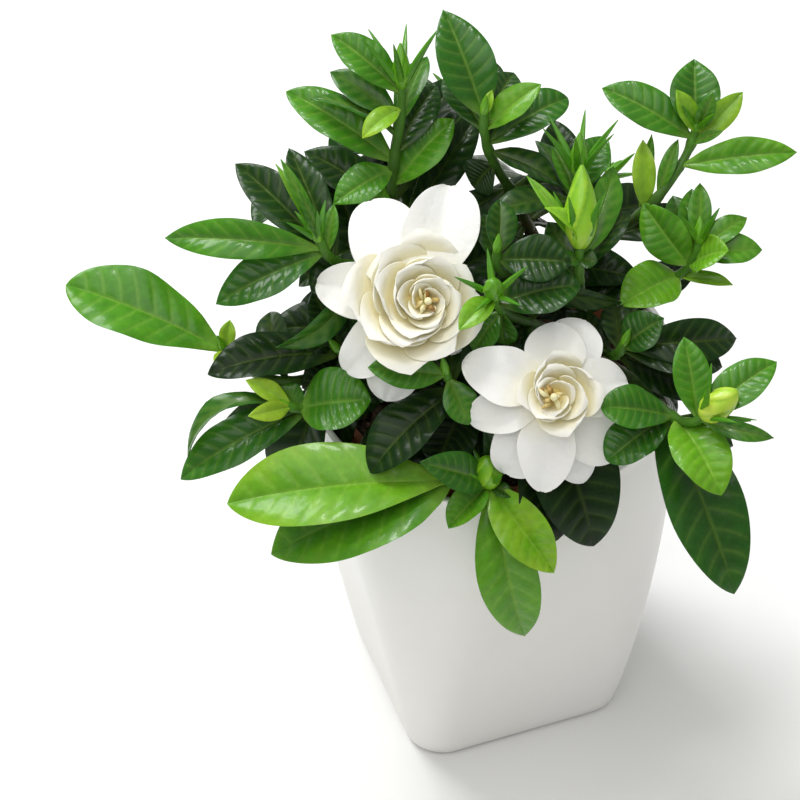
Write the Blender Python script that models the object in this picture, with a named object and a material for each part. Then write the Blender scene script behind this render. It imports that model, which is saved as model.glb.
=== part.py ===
"""A potted double gardenia: a leafy shrub with two open blooms, in a white cover pot.

The plant grows in a terracotta-coloured nursery pot, which stands inside a white cover pot that is round at
the mouth and square at the base. Woody cuttings rise from the soil and fork into leafy shoots, and two shoots
end in a bloom. Lengths are in millimetres until a mesh is made. X and Y run along the sides of the pot's base,
Z is up, and the origin is at the middle of the base.
"""

import math
import random
from collections import namedtuple
from itertools import product

import bmesh
import bpy
from mathutils import Matrix, Vector
from mathutils.bvhtree import BVHTree

MM = 0.001
GAP = 0.3
UP = Vector((0.0, 0.0, 1.0))

# The white cover pot.
POT_HEIGHT = 168.0
MOUTH_WIDTH = 140.0
BASE_WIDTH = 88.0
BASE_CORNER = 15.0
POT_WALL = 2.6
POT_FLOOR = 4.0
POT_FLARE = 1.2
POT_ROUNDING = 1.24
POT_FOOT_ROUND = 2.5
POT_CORNER_STEPS = 5
POT_RINGS = 6
POT_INNER_RINGS = 3

# The nursery pot inside it, and its soil.
NURSERY_TOP = 164.5
NURSERY_MOUTH_RADIUS = 61.0
NURSERY_BASE_RADIUS = 39.5
NURSERY_WALL = 1.5
NURSERY_FLOOR = 2.0
NURSERY_RIM_HEIGHT = 9.0
NURSERY_RIM_PROUD = 1.6
NURSERY_SIDES = 20
DRAIN_HOLES = 4
DRAIN_RADIUS = 3.5
DRAIN_CIRCLE = 24.0
SOIL_TOP = 150.0
SOIL_LUMP = 1.8
SOIL_SEED = 5

# Woody cuttings and green shoots.
STEM_HOLE_DEPTH = 45.0
STEM_HOLE_RADIUS = 4.7
TRUNK_RADIUS = 4.2
FORK_RADIUS = 3.4
WOOD_RADII = (3.2, 2.9, 2.4)
SHOOT_ROOT_RADIUS = 2.3
SHOOT_END_RADIUS = 1.4
WOOD_SHARE = 0.36
STEM_SIDES = 4
STEM_RINGS = 5

# Leaves and petals.
LEAF_THICKNESS = 1.2
LEAF_STATIONS = (0.0, 0.22, 0.5, 0.8, 1.0)
SMALL_LEAF_STATIONS = (0.0, 0.3, 0.7, 1.0)
SMALL_LEAF_WIDTH = 17.0
LEAF_TRIMMED = (0.24, 0.5, 0.8, 1.0)
LEAF_ACROSS = (-1.0, 0.0, 1.0)
PETIOLE_HALF_WIDTH = 0.9
CLEARANCE = 0.8
PETAL_THICKNESS = 1.1
OUTER_PETAL_STATIONS = (0.0, 0.45, 0.75, 0.93, 0.99)
OUTER_PETAL_ACROSS = (-1.0, -0.45, 0.45, 1.0)
RING_PETAL_STATIONS = (0.0, 0.5, 0.85, 0.985)
RING_PETAL_ACROSS = (-1.0, -0.4, 0.4, 1.0)

# The viewpoint that the plant's shoots and leaves were read from: a picture of 800 by 800 pixels.
VIEW_AZIMUTH = math.radians(-20.0)
VIEW_ELEVATION = math.radians(46.4)
VIEW_DISTANCE = 1720.0
VIEW_TARGET = Vector((16.4, 145.4, 0.0))
VIEW_FOCAL_PIXELS = 4000.0
VIEW_MIDDLE_PIXEL = 400.0

TO_EYE = Vector((
    math.sin(VIEW_AZIMUTH) * math.cos(VIEW_ELEVATION),
    -math.cos(VIEW_AZIMUTH) * math.cos(VIEW_ELEVATION),
    math.sin(VIEW_ELEVATION),
))
EYE = VIEW_TARGET + TO_EYE * VIEW_DISTANCE
VIEW_RIGHT = Vector((math.cos(VIEW_AZIMUTH), math.sin(VIEW_AZIMUTH), 0.0))
VIEW_UP = VIEW_RIGHT.cross(-TO_EYE)
SKY = (UP + TO_EYE * 0.8).normalized()

# The crown: how far leaves that the picture doesn't show may reach.
CROWN_MIDDLE = Vector((-20.0, 10.0, 205.0))
CROWN_REACH = Vector((106.0, 120.0, 88.0))
DEEP_REACH = Vector((74.0, 62.0, 80.0))
FILLER_SEED = 11
FILLER_SPACING = 22.0
FILLER_LENGTH = (42.0, 60.0)
FILLER_SLENDERNESS = (0.38, 0.46)
FILLER_FOOT = 0.05
FILLER_END = 0.85
FAR_FILLER_END = 0.95

Cutting = namedtuple("Cutting", "x y fork")
Bud = namedtuple("Bud", "length width sepals sepal_length flare phase", defaults=(0.35,))
Leaf = namedtuple(
    "Leaf",
    "at tip nearer width tone roll arch fold peak full",
    defaults=(0.0, 16.0, 0.5, 0.0, 0.08, 14.0, 0.55, 2.0),
)
Shoot = namedtuple("Shoot", "cutting apex aim bud leaves via", defaults=(None,))
Blade = namedtuple("Blade", "root tip normal width tone arch fold peak full filler", defaults=(False,))
Petal = namedtuple("Petal", "clock reach width rise curl cup level aside blunt", defaults=(0.0, 0.0, 6.0))
Ring = namedtuple("Ring", "count radius level height phase lip right up")
Bloom = namedtuple("Bloom", "centre right up out outer rings twist heart")

CUTTINGS = {
    "front": Cutting(-7.0, -21.0, Vector((-9.0, -29.0, 173.0))),
    "left": Cutting(-27.0, 7.0, Vector((-33.0, 8.0, 176.0))),
    "back_left": Cutting(-7.0, 27.0, Vector((-11.0, 33.0, 186.0))),
    "back_right": Cutting(24.0, 17.0, Vector((30.0, 20.0, 186.0))),
    "right": Cutting(24.0, -11.0, Vector((31.0, -13.0, 176.0))),
}

BIG_BUD = Bud(28.0, 12.0, 5, 15.0, 14.0)
ROUND_BUD = Bud(15.0, 10.5, 5, 13.0, 38.0, 0.85)
FRONT_BUD = Bud(12.0, 10.0, 4, 11.0, 30.0)
CENTRE_BUD = Bud(9.0, 7.4, 5, 12.0, 52.0)
CALYX_BUD = Bud(15.0, 6.5, 6, 19.0, 30.0)
SMALL_BUD = Bud(9.0, 4.5, 4, 11.0, 30.0)
TIP_BUD = Bud(7.0, 3.2, 0, 0.0, 0.0)
SEPAL_FOOT = 0.12
SEPAL_OFFSET = 0.34

# Each shoot's apex is (pixel x, pixel y, height above the floor), and its aim is the pixel that it points at.
# Each leaf gives the share of the shoot at which it grows, the pixel of its tip, how much nearer to the viewer
# the tip is than the root, its width, and its tone from 0 (oldest, darkest) to 1 (youngest, yellow-green).
SHOOTS = {
    "shoot_top_left": Shoot("back_left", (402, 84, 292), (400, 34), CALYX_BUD, (
        Leaf(0.97, (331, 34), 2, 15, 0.6),
        Leaf(0.9, (330, 71), -4, 13, 0.5),
        Leaf(0.86, (311, 96), 4, 10, 0.5, roll=35),
        Leaf(0.88, (427, 56), -10, 12, 0.55, roll=-20),
        Leaf(0.93, (362, 138), 8, 9, 0.95, arch=0.16),
        Leaf(0.78, (286, 90), 0, 18, 0.6, full=1.7),
        Leaf(0.6, (304, 150), -4, 17, 0.2),
        Leaf(0.76, (333, 204), 6, 15, 0.65, peak=0.5),
        Leaf(0.7, (454, 119), 4, 17, 0.7),
        Leaf(0.5, (479, 110), -6, 15, 0.15, roll=25),
        Leaf(0.8, (436, 84), -10, 15, 0.25),
    ), via=(392, 196, 250)),
    "shoot_top_centre": Shoot("back_right", (484, 112, 290), (487, 88), TIP_BUD, (
        Leaf(0.98, (443, 8), -2, 21, 0.45, peak=0.48),
        Leaf(0.95, (514, 72), -12, 14, 0.3),
        Leaf(0.92, (446, 72), -14, 14, 0.3),
        Leaf(0.93, (541, 84), 2, 12, 0.75),
        Leaf(0.87, (568, 96), -2, 16, 0.45, peak=0.62, full=1.6),
        Leaf(0.84, (562, 186), 2, 13, 0.25, roll=-20),
        Leaf(0.98, (492, 90), 3, 4, 0.9),
        Leaf(0.78, (474, 188), -6, 16, 0.08),
    )),
    "shoot_top_middle": Shoot("back_right", (578, 172, 272), (580, 134), CALYX_BUD, (
        Leaf(0.9, (603, 136), -4, 14, 0.5),
        Leaf(0.88, (553, 146), 0, 9, 0.6),
        Leaf(0.84, (536, 140), -12, 12, 0.45, roll=30),
    )),
    "shoot_big_bud": Shoot("right", (580, 243, 258), (582, 165), BIG_BUD, (
        Leaf(0.97, (545, 207), 8, 8, 0.85, roll=30, arch=0.2),
        Leaf(0.92, (614, 166), -12, 13, 0.6),
        Leaf(0.86, (630, 212), -4, 13, 0.12, roll=-15),
        Leaf(0.97, (527, 175), 4, 5, 0.8),
        Leaf(0.93, (563, 262), 4, 7, 0.45),
        Leaf(0.93, (597, 262), 2, 8, 0.3),
        Leaf(0.8, (548, 222), -6, 12, 0.3),
    )),
    "shoot_top_right": Shoot("back_right", (696, 128, 268), (702, 100), SMALL_BUD, (
        Leaf(0.95, (602, 87), 0, 17, 0.6),
        Leaf(0.98, (694, 59), -4, 19, 0.55, peak=0.5),
        Leaf(0.98, (677, 90), 4, 8, 0.85),
        Leaf(0.98, (713, 92), 5, 7, 0.6),
        Leaf(0.94, (743, 92), 3, 10, 0.85),
        Leaf(0.93, (723, 131), 6, 4, 0.6),
        Leaf(0.84, (797, 152), 6, 14, 0.75, roll=15),
        Leaf(0.62, (643, 140), 6, 9, 0.9),
        Leaf(0.6, (652, 134), 0, 5, 0.6),
        Leaf(0.7, (678, 139), 4, 6, 0.6),
    ), via=(652, 204, 245)),
    "shoot_right": Shoot("right", (700, 240, 238), (700, 190), SMALL_BUD, (
        Leaf(0.86, (643, 203), 4, 17, 0.75, peak=0.5, full=1.8),
        Leaf(0.92, (762, 250), 2, 13, 0.7),
        Leaf(0.95, (747, 217), -6, 10, 0.65),
        Leaf(0.86, (728, 250), 10, 15, 0.85, full=1.7),
        Leaf(0.78, (733, 284), 4, 6, 0.85),
        Leaf(0.78, (621, 306), 14, 20, 0.75, peak=0.48, full=1.6),
        Leaf(0.96, (700, 183), 0, 9, 0.65),
        Leaf(0.88, (673, 195), -8, 13, 0.5),
        Leaf(0.9, (692, 188), -10, 12, 0.6),
    )),
    "shoot_right_bud": Shoot("right", (706, 414, 218), (733, 394), ROUND_BUD, (
        Leaf(0.95, (684, 337), 4, 14, 0.65),
        Leaf(0.96, (777, 361), -2, 16, 0.6),
        Leaf(0.96, (774, 438), 4, 7, 0.55, roll=30, arch=0.2),
        Leaf(0.82, (722, 495), 16, 21, 0.82, peak=0.52, full=1.6, arch=0.14),
        Leaf(0.8, (601, 407), 10, 17, 0.55, peak=0.62, full=1.6),
        Leaf(0.78, (607, 461), 6, 18, 0.42, peak=0.6, full=1.5),
        Leaf(0.68, (736, 595), 4, 29, 0.35, full=1.8, arch=0.1),
        Leaf(0.9, (751, 421), 2, 3, 0.7),
        Leaf(0.8, (733, 446), -8, 12, 0.15),
    )),
    "shoot_right_inner": Shoot("right", (624, 343, 222), (632, 324), TIP_BUD, (
        Leaf(0.96, (664, 318), 6, 16, 0.35, peak=0.5),
        Leaf(0.97, (738, 338), -10, 17, 0.1, roll=25, arch=0.16),
        Leaf(0.93, (724, 366), -4, 20, 0.08, arch=0.12),
        Leaf(0.84, (704, 394), -4, 20, 0.05),
        Leaf(0.94, (651, 358), 4, 4, 0.8),
        Leaf(0.75, (566, 310), -8, 11, 0.08),
        Leaf(0.85, (680, 412), -4, 18, 0.04),
        Leaf(0.9, (614, 300), -8, 12, 0.1),
    )),
    "shoot_left_upper": Shoot("back_left", (318, 238, 256), (292, 180), SMALL_BUD, (
        Leaf(0.95, (165, 238), -4, 15, 0.62, roll=-20, arch=0.2),
        Leaf(0.93, (216, 304), 2, 18, 0.5),
        Leaf(0.9, (235, 163), -8, 17, 0.15),
        Leaf(0.96, (276, 164), 3, 4, 0.75),
        Leaf(0.97, (281, 159), 0, 5, 0.65),
        Leaf(0.97, (300, 192), 4, 5, 0.5),
        Leaf(0.92, (334, 204), 2, 6, 0.6),
        Leaf(0.8, (311, 291), 4, 12, 0.15),
        Leaf(0.76, (276, 350), 4, 12, 0.42, roll=-40, arch=0.3),
        Leaf(0.86, (289, 147), -12, 14, 0.15),
    )),
    "shoot_left_tip": Shoot("left", (223, 347, 202), (216, 334), TIP_BUD, (
        Leaf(0.96, (66, 285), 0, 29, 0.7, roll=6, peak=0.6, full=1.7, arch=0.07),
        Leaf(0.97, (230, 320), 3, 6.5, 0.95),
        Leaf(0.97, (219, 370), 13, 6.5, 0.98),
    ), via=(280, 381, 203)),
    "shoot_left_lower": Shoot("left", (286, 405, 200), (258, 396), TIP_BUD, (
        Leaf(0.84, (178, 478), 0, 19, 0.45, full=1.8),
        Leaf(0.95, (184, 456), -4, 11, 0.45, arch=0.3, roll=30, fold=22),
        Leaf(0.96, (246, 380), 8, 8, 0.98),
        Leaf(0.97, (249, 416), 10, 7.5, 0.98),
        Leaf(0.9, (280, 386), 2, 10, 0.5),
        Leaf(0.9, (371, 400), 8, 26, 0.55, peak=0.5, full=1.5),
    )),
    "shoot_inner_left": Shoot("back_left", (338, 350, 210), (326, 336), TIP_BUD, (
        Leaf(0.95, (207, 373), -4, 22, 0.08, full=1.7),
        Leaf(0.93, (312, 292), 0, 15, 0.1),
        Leaf(0.95, (302, 388), 4, 19, 0.04),
        Leaf(0.97, (348, 424), 0, 22, 0.04, full=1.7),
    )),
    "shoot_inner_front": Shoot("front", (446, 372, 218), (440, 350), TIP_BUD, (
        Leaf(0.97, (368, 367), 8, 14, 0.58, roll=10),
        Leaf(0.78, (369, 472), 8, 23, 0.05, peak=0.55, full=1.6),
        Leaf(0.95, (469, 425), 0, 13, 0.58),
        Leaf(0.6, (436, 468), 0, 22, 0.04, full=1.7),
        Leaf(0.5, (480, 462), -4, 18, 0.04),
    )),
    "shoot_front_left": Shoot("front", (447, 478, 186), (436, 462), TIP_BUD, (
        Leaf(0.94, (226, 503), 0, 33, 0.82, peak=0.58, full=1.85, arch=0.08),
        Leaf(0.9, (271, 554), -6, 36, 0.7, peak=0.5, full=1.6, arch=0.08),
    )),
    "shoot_front": Shoot("front", (489, 482, 177), (487, 462), FRONT_BUD, (
        Leaf(0.96, (420, 462), 6, 15, 0.45, peak=0.5),
        Leaf(0.94, (394, 481), 16, 12, 0.2),
        Leaf(0.95, (448, 528), 6, 14, 0.7, fold=30),
        Leaf(0.93, (554, 573), 0, 21, 0.9, fold=30, peak=0.5, full=1.8),
        Leaf(0.88, (526, 641), -18, 23, 0.75, peak=0.5, arch=0.05),
        Leaf(0.96, (513, 497), 4, 6, 0.35),
    )),
    "shoot_centre": Shoot("right", (494, 294, 248), (493, 284), CENTRE_BUD, (
        Leaf(0.97, (459, 330), 10, 10, 0.8, arch=0.14),
        Leaf(0.93, (581, 284), 2, 21, 0.3, full=1.8),
        Leaf(0.86, (474, 352), -4, 14, 0.5),
        Leaf(0.86, (505, 345), -6, 13, 0.5),
    )),
    "shoot_centre_back": Shoot("back_right", (497, 250, 258), (500, 226), TIP_BUD, (
        Leaf(0.95, (572, 262), 0, 18, 0.2, roll=10),
        Leaf(0.97, (500, 199), -2, 13, 0.3, roll=25),
        Leaf(0.8, (622, 303), -4, 10, 0.15, roll=30),
        Leaf(0.9, (484, 214), -8, 10, 0.15),
    )),
}

# Shoots on the far side, which the picture doesn't show: the apex in millimetres, and the way it points.
FAR_SHOOTS = {
    "shoot_far_left": ("back_left", Vector((-37.0, 74.0, 208.0)), Vector((-0.35, 0.8, 0.3))),
    "shoot_far_middle": ("back_left", Vector((19.0, 88.0, 222.0)), Vector((0.1, 0.9, 0.3))),
    "shoot_far_right": ("back_right", Vector((66.0, 50.0, 200.0)), Vector((0.8, 0.5, 0.2))),
}

# The blooms. Outer petals are read off the picture: where each points, counted anticlockwise from the right,
# how far its tip lies to the side of that line, and how blunt it is. Each ring of the rosette has its own middle.
LEFT_BLOOM_OUTER = (
    Petal(112, 40, 27, 7, 10, 3.0, -3.25),
    Petal(88, 43, 27, 7, 8, 3.0, -1.75, 12.0, 7.0),
    Petal(167, 34.5, 21, 5, 10, 2.5, -5.25, 0.0, 4.0),
    Petal(226, 33, 20, 4, 11, 2.5, -4.75, 0.0, 5.0),
    Petal(256, 35, 22, 3, 13, 2.5, -6.75),
    Petal(320, 24.5, 15, 4, 8, 2.0, -4.25),
)
LEFT_BLOOM_RINGS = (
    Ring(4, 22.8, -2.6, 10.4, 7.0, 3.4, 0.0, 0.2),
    Ring(4, 19.0, -1.1, 10.8, 47.0, 2.8, 0.9, -0.1),
    Ring(4, 15.4, 0.4, 10.9, 78.0, 2.4, 1.8, 0.1),
    Ring(3, 12.0, 1.8, 10.4, 24.0, 2.0, 2.5, -0.2),
    Ring(3, 8.8, 3.1, 9.2, 67.0, 1.7, 3.1, 0.0),
    Ring(3, 6.0, 4.3, 7.2, 15.0, 1.3, 3.6, 0.1),
)
RIGHT_BLOOM_OUTER = (
    Petal(161, 33.5, 23, 5, 6, 2.5, -1.0, 0.0, 3.2),
    Petal(199, 31, 19.5, 3, 8, 2.0, -2.6, 0.0, 3.0),
    Petal(267, 36, 22.5, 2, 11, 3.0, -3.2, 1.0, 3.2),
    Petal(242, 33.5, 24, 1, 10.5, 1.7, -5.1, 0.0, 5.0),
    Petal(291, 35, 18, -1, 11, 2.0, -7.5, 0.0, 5.0),
    Petal(315, 34, 25, 0, 8, 2.0, -5.0, 0.0, 4.0),
    Petal(10, 27.5, 22, 4, 5, 2.0, -2.6, 1.5, 4.5),
    Petal(86, 25, 23, 5, 5, 2.5, -2.2, 0.0, 4.0),
    Petal(64, 28.5, 23, 2, 6, 2.0, -6.0),
)
RIGHT_BLOOM_RINGS = (
    Ring(4, 13.6, 0.2, 8.4, 20.0, 2.4, 2.7, -0.7),
    Ring(3, 9.8, 1.8, 8.4, 0.0, 2.0, 1.6, -1.0),
    Ring(3, 6.6, 3.4, 6.4, 40.0, 1.4, 0.6, -1.4),
)
PETAL_SHOULDER = 0.62
PETAL_CLAW = 1.5
BLOOM_TWIST = -0.15
RING_OVERLAP = 1.42
RING_LAP_HEIGHT = 1.1
BLOOM_CORE_TOP = 5.0
BLOOM_CORE_RADIUS = 5.0
BLOOM_NECK = 17.0
BLOOM_NECK_RADIUS = 2.3
CALYX_LENGTH = 9.0
CALYX_RADIUS = 3.8


def sightline(x, y):
    """The way that pixel (x, y) looks, scaled so that it goes 1 deeper into the picture."""
    across = (x - VIEW_MIDDLE_PIXEL) / VIEW_FOCAL_PIXELS
    upward = (VIEW_MIDDLE_PIXEL - y) / VIEW_FOCAL_PIXELS
    return VIEW_RIGHT * across + VIEW_UP * upward - TO_EYE


def seen(x, y, height):
    """The point at this height above the floor that shows at pixel (x, y)."""
    ray = sightline(x, y)
    return EYE + ray * ((height - EYE.z) / ray.z)


def depth_of(point):
    return (EYE - point).dot(TO_EYE)


def seen_at_depth(x, y, depth):
    return EYE + sightline(x, y) * depth


def perpendicular(way, along):
    """The part of way that is square to along, at length 1."""
    along = along.normalized()
    return (way - along * way.dot(along)).normalized()


def smooth_path(points, start_way, end_way, steps=8):
    """Points of a smooth curve through the given ones, which leaves and arrives in the given ways."""
    ways = [start_way.normalized() * (points[1] - points[0]).length]
    ways += [(after - before) * 0.5 for before, after in zip(points, points[2:])]
    ways.append(end_way.normalized() * (points[-1] - points[-2]).length)
    path = []
    for i in range(len(points) - 1):
        for step in range(steps):
            t = step / steps
            path.append(
                points[i] * (2 * t**3 - 3 * t**2 + 1)
                + ways[i] * (t**3 - 2 * t**2 + t)
                + points[i + 1] * (3 * t**2 - 2 * t**3)
                + ways[i + 1] * (t**3 - t**2)
            )
    path.append(points[-1].copy())
    return path


def point_on(path, share):
    place = max(0.0, min(1.0, share)) * (len(path) - 1)
    index = min(int(place), len(path) - 2)
    return path[index].lerp(path[index + 1], place - index)


def way_on(path, share):
    return (point_on(path, share + 0.04) - point_on(path, share - 0.04)).normalized()


def part_of(path, start, end, count):
    return [point_on(path, start + (end - start) * i / (count - 1)) for i in range(count)]


def bloom_frame(x, y, height, lean_right, lean_up):
    """The middle of a bloom and its own right, up and out, for a bloom that shows its face at pixel (x, y)."""
    out = (TO_EYE + VIEW_RIGHT * lean_right + VIEW_UP * lean_up).normalized()
    up = perpendicular(VIEW_UP, out)
    return seen(x, y, height), up.cross(out), up, out


BLOOMS = {
    "left": Bloom(
        *bloom_frame(413, 303, 240.0, 0.1, 0.04),
        LEFT_BLOOM_OUTER,
        LEFT_BLOOM_RINGS,
        BLOOM_TWIST,
        (3.6, 0.0),
    ),
    "right": Bloom(
        *bloom_frame(552, 392, 217.0, 0.02, 0.0),
        RIGHT_BLOOM_OUTER,
        RIGHT_BLOOM_RINGS,
        BLOOM_TWIST,
        (-0.6, -1.8),
    ),
}
BLOOM_SHOOTS = {
    "shoot_bloom_left": ("left", "left", (
        Leaf(0.82, (372, 170), -12, 17, 0.75),
        Leaf(0.72, (335, 385), -6, 22, 0.03),
    )),
    "shoot_bloom_right": ("front", "right", (
        Leaf(0.8, (594, 547), -2, 33, 0.04, arch=0.18, peak=0.5, full=1.5),
        Leaf(0.7, (543, 550), 0, 26, 0.04, arch=0.2, peak=0.55, full=1.6),
    )),
}


def leaf_half_width(blade, t):
    """Half the blade's width at t, from the petiole (0) to the tip (1)."""
    if t >= 1.0:
        return 0.0
    rising = (t / blade.peak) ** (blade.full * blade.peak)
    falling = ((1.0 - t) / (1.0 - blade.peak)) ** (blade.full * (1.0 - blade.peak))
    half = blade.width * 0.5 * rising * falling
    if t < blade.peak:
        half = max(half, PETIOLE_HALF_WIDTH)
    return half


def leaf_surface(blade, grow=0.0):
    """A function from (u, t) to a point of the blade: u from its left edge (-1) to its right (1), t to the tip."""
    chord = blade.tip - blade.root
    side = chord.normalized().cross(blade.normal)
    bend = 4.0 * blade.arch * chord.length
    fold = math.radians(blade.fold)

    def point(u, t):
        centre = blade.root + chord * t + blade.normal * (bend * t * (1.0 - t))
        tangent = chord + blade.normal * (bend * (1.0 - 2.0 * t))
        rise = perpendicular(blade.normal, tangent)
        half = leaf_half_width(blade, t) + grow
        return centre + side * (u * half * math.cos(fold)) + rise * (abs(u) * half * math.sin(fold))

    return point


def outline_share(v, base=0.3, blunt=6.0):
    """How wide a petal is at v, as a share of its width: narrow at the claw, and the blunter the wider at the lip."""
    rising = base + (1.0 - base) * math.sin(min(v / PETAL_SHOULDER, 1.0) * math.pi / 2)
    return rising * math.sqrt(max(0.0, 1.0 - v**blunt))


def outer_petal_surface(bloom, petal):
    """A function from (u, v) to a point of a spreading outer petal, v from its claw (0) to its lip (1)."""
    clock = math.radians(petal.clock)
    along = bloom.right * math.cos(clock) + bloom.up * math.sin(clock)
    side = along.cross(bloom.out)

    def point(u, v):
        reach = PETAL_CLAW + (petal.reach - PETAL_CLAW) * v
        centre = bloom.centre + along * reach + side * (petal.aside * max(v, 0.0) ** 0.6)
        share = outline_share(v, 0.3, petal.blunt)
        height = petal.level + petal.rise * math.sin(v * math.pi / 2) - petal.curl * v * v
        height += petal.cup * u * u * v * share
        return centre + side * (u * petal.width * 0.5 * share) + bloom.out * height

    return point


def ring_petal_surface(bloom, ring, index):
    """A function from (u, v) to a point of a petal that stands up round the rosette and overlaps its neighbour."""
    middle = math.radians(ring.phase + 360.0 * index / ring.count)
    half_angle = RING_OVERLAP * math.pi / ring.count
    heart = bloom.centre + bloom.right * ring.right + bloom.up * ring.up

    def point(u, v):
        share = outline_share(v, 0.75)
        angle = middle + u * half_angle * share
        lip = v**5
        bowl = 0.08 + 0.92 * math.sin(max(v, 0.0) ** 0.8 * math.pi / 2)
        radius = ((ring.radius - ring.lip) * bowl + ring.lip * lip) * (1.0 + bloom.twist * u)
        height = ring.level + ring.height * max(v, 0.0) ** 2.2 - 0.4 * ring.lip * lip
        height += RING_LAP_HEIGHT * u * share - 2.0 * u * u * v * share
        flat = bloom.right * math.cos(angle) + bloom.up * math.sin(angle)
        return heart + flat * radius + bloom.out * height

    return point


def thin_solid(surface, stations, across, thickness):
    """Points and triangles of a closed thin solid round a surface, sharp at its edges and at its far end."""
    step = 0.02
    points = []
    faces = []
    rows = []
    for t in stations[:-1]:
        top = []
        bottom = []
        for u in across:
            here = surface(u, t)
            if abs(u) == 1.0:
                points.append(here)
                top.append(len(points) - 1)
                bottom.append(len(points) - 1)
                continue
            over_u = surface(u + step, t) - surface(u - step, t)
            over_t = surface(u, min(t + step, 0.99)) - surface(u, max(t - step, 0.0))
            offset = over_u.cross(over_t).normalized() * (thickness * 0.5)
            points.append(here + offset)
            top.append(len(points) - 1)
            points.append(here - offset)
            bottom.append(len(points) - 1)
        rows.append((top, bottom))
    points.append(surface(0.0, stations[-1]))
    end = len(points) - 1
    last = len(across) - 1
    for (top, bottom), (next_top, next_bottom) in zip(rows, rows[1:]):
        for j in range(last):
            faces.append((top[j], top[j + 1], next_top[j + 1]))
            faces.append((top[j], next_top[j + 1], next_top[j]))
            faces.append((bottom[j], next_bottom[j + 1], bottom[j + 1]))
            faces.append((bottom[j], next_bottom[j], next_bottom[j + 1]))
    top, bottom = rows[-1]
    for j in range(last):
        faces.append((top[j], top[j + 1], end))
        faces.append((bottom[j + 1], bottom[j], end))
    top, bottom = rows[0]
    ring = bottom[:] + top[-2:0:-1]
    faces += [(ring[0], ring[j], ring[j + 1]) for j in range(1, len(ring) - 1)]
    return points, faces


def tube(path, radii, sides):
    """Points and faces of a closed tube along a path, with flat ends."""
    points = []
    faces = []
    normal = perpendicular(VIEW_RIGHT, path[1] - path[0])
    for i, (centre, radius) in enumerate(zip(path, radii)):
        way = path[min(i + 1, len(path) - 1)] - path[max(i - 1, 0)]
        normal = perpendicular(normal, way)
        other = way.normalized().cross(normal)
        for k in range(sides):
            turn = 2.0 * math.pi * k / sides
            points.append(centre + normal * (radius * math.cos(turn)) + other * (radius * math.sin(turn)))
    for i in range(len(path) - 1):
        for k in range(sides):
            a = i * sides + k
            b = i * sides + (k + 1) % sides
            faces.append((a, b, b + sides, a + sides))
    faces.append(tuple(reversed(range(sides))))
    faces.append(tuple(range(len(points) - sides, len(points))))
    return points, faces


def spindle(start, end, width):
    """A closed bud, fat below its middle and pointed."""
    shares = (0.0, 0.16, 0.4, 0.78, 1.0)
    girths = (0.36, 0.84, 1.0, 0.58, 0.1)
    sides = 6 if width > 5.0 else 4
    path = [start.lerp(end, share) for share in shares]
    return tube(path, [width * 0.5 * girth for girth in girths], sides)


def sepal(start, way, outward, length):
    """A narrow green sepal that leaves the bud's foot and curves outwards."""
    end = start + (way + outward * 0.15) * length
    return tube([start, end], (1.0, 0.15), 3)


def bud_solids(path, aim, bud):
    """The bud that ends a shoot, with its sepals round it."""
    apex = path[-1]
    solids = [spindle(apex - aim * 1.8, apex + aim * bud.length, bud.width)]
    right = perpendicular(VIEW_RIGHT, aim)
    other = aim.cross(right)
    flare = math.radians(bud.flare)
    for i in range(bud.sepals):
        turn = 2.0 * math.pi * (i + bud.phase) / bud.sepals
        outward = right * math.cos(turn) + other * math.sin(turn)
        way = aim * math.cos(flare) + outward * math.sin(flare)
        foot = apex + aim * (bud.length * SEPAL_FOOT) + outward * (bud.width * SEPAL_OFFSET)
        solids.append(sepal(foot, way, outward, bud.sepal_length))
    return solids


def tree_of(solids):
    """One search tree for a list of (points, faces)."""
    points = []
    faces = []
    for more_points, more_faces in solids:
        faces += [tuple(index + len(points) for index in face) for face in more_faces]
        points += more_points
    return BVHTree.FromPolygons(points, faces)


def place_leaf(path, leaf, slip=0.0, more_arch=0.0, lift=0.0, twist=0.0):
    """The blade of a leaf that the picture shows. Lift brings its tip nearer along its own sightline."""
    arch = leaf.arch + more_arch
    root = point_on(path, min(leaf.at + slip, 0.98))
    tip = seen_at_depth(*leaf.tip, depth_of(root) - leaf.nearer - lift)
    normal = perpendicular(SKY, tip - root)
    turn = Matrix.Rotation(math.radians(leaf.roll + twist), 3, (tip - root).normalized())
    return Blade(root, tip, turn @ normal, leaf.width, leaf.tone, arch, leaf.fold, leaf.peak, leaf.full)


class Crown:
    """Everything placed so far, by node, so that a new leaf can be bent clear of it."""

    def __init__(self):
        self.trees = {}
        self.shown = []

    def add(self, node, solids, shown=False):
        self.trees.setdefault(node, []).append(tree_of(solids))
        if shown:
            self.shown += solids

    def add_leaf(self, node, blade, shown):
        self.trees.setdefault(node + "/leaves", []).append(tree_of([leaf_solid(blade, 0.0, LEAF_TRIMMED)]))
        self.add(node, [leaf_solid(blade)], shown)

    def clear_of_others(self, node, blade):
        tree = tree_of([leaf_solid(blade, CLEARANCE)])
        for name, others in self.trees.items():
            if name.split("/")[0] != node and "/" not in name:
                if any(tree.overlap(other) for other in others):
                    return False
        return True

    def clear_of_own(self, node, blade):
        tree = tree_of([leaf_solid(blade, CLEARANCE, LEAF_TRIMMED)])
        return not any(tree.overlap(other) for other in self.trees.get(node + "/leaves", []))


def leaf_solid(blade, grow=0.0, stations=None):
    if stations is None:
        small = blade.width < SMALL_LEAF_WIDTH or blade.filler
        stations = SMALL_LEAF_STATIONS if small else LEAF_STATIONS
    return thin_solid(leaf_surface(blade, grow), stations, LEAF_ACROSS, LEAF_THICKNESS + grow)


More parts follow.
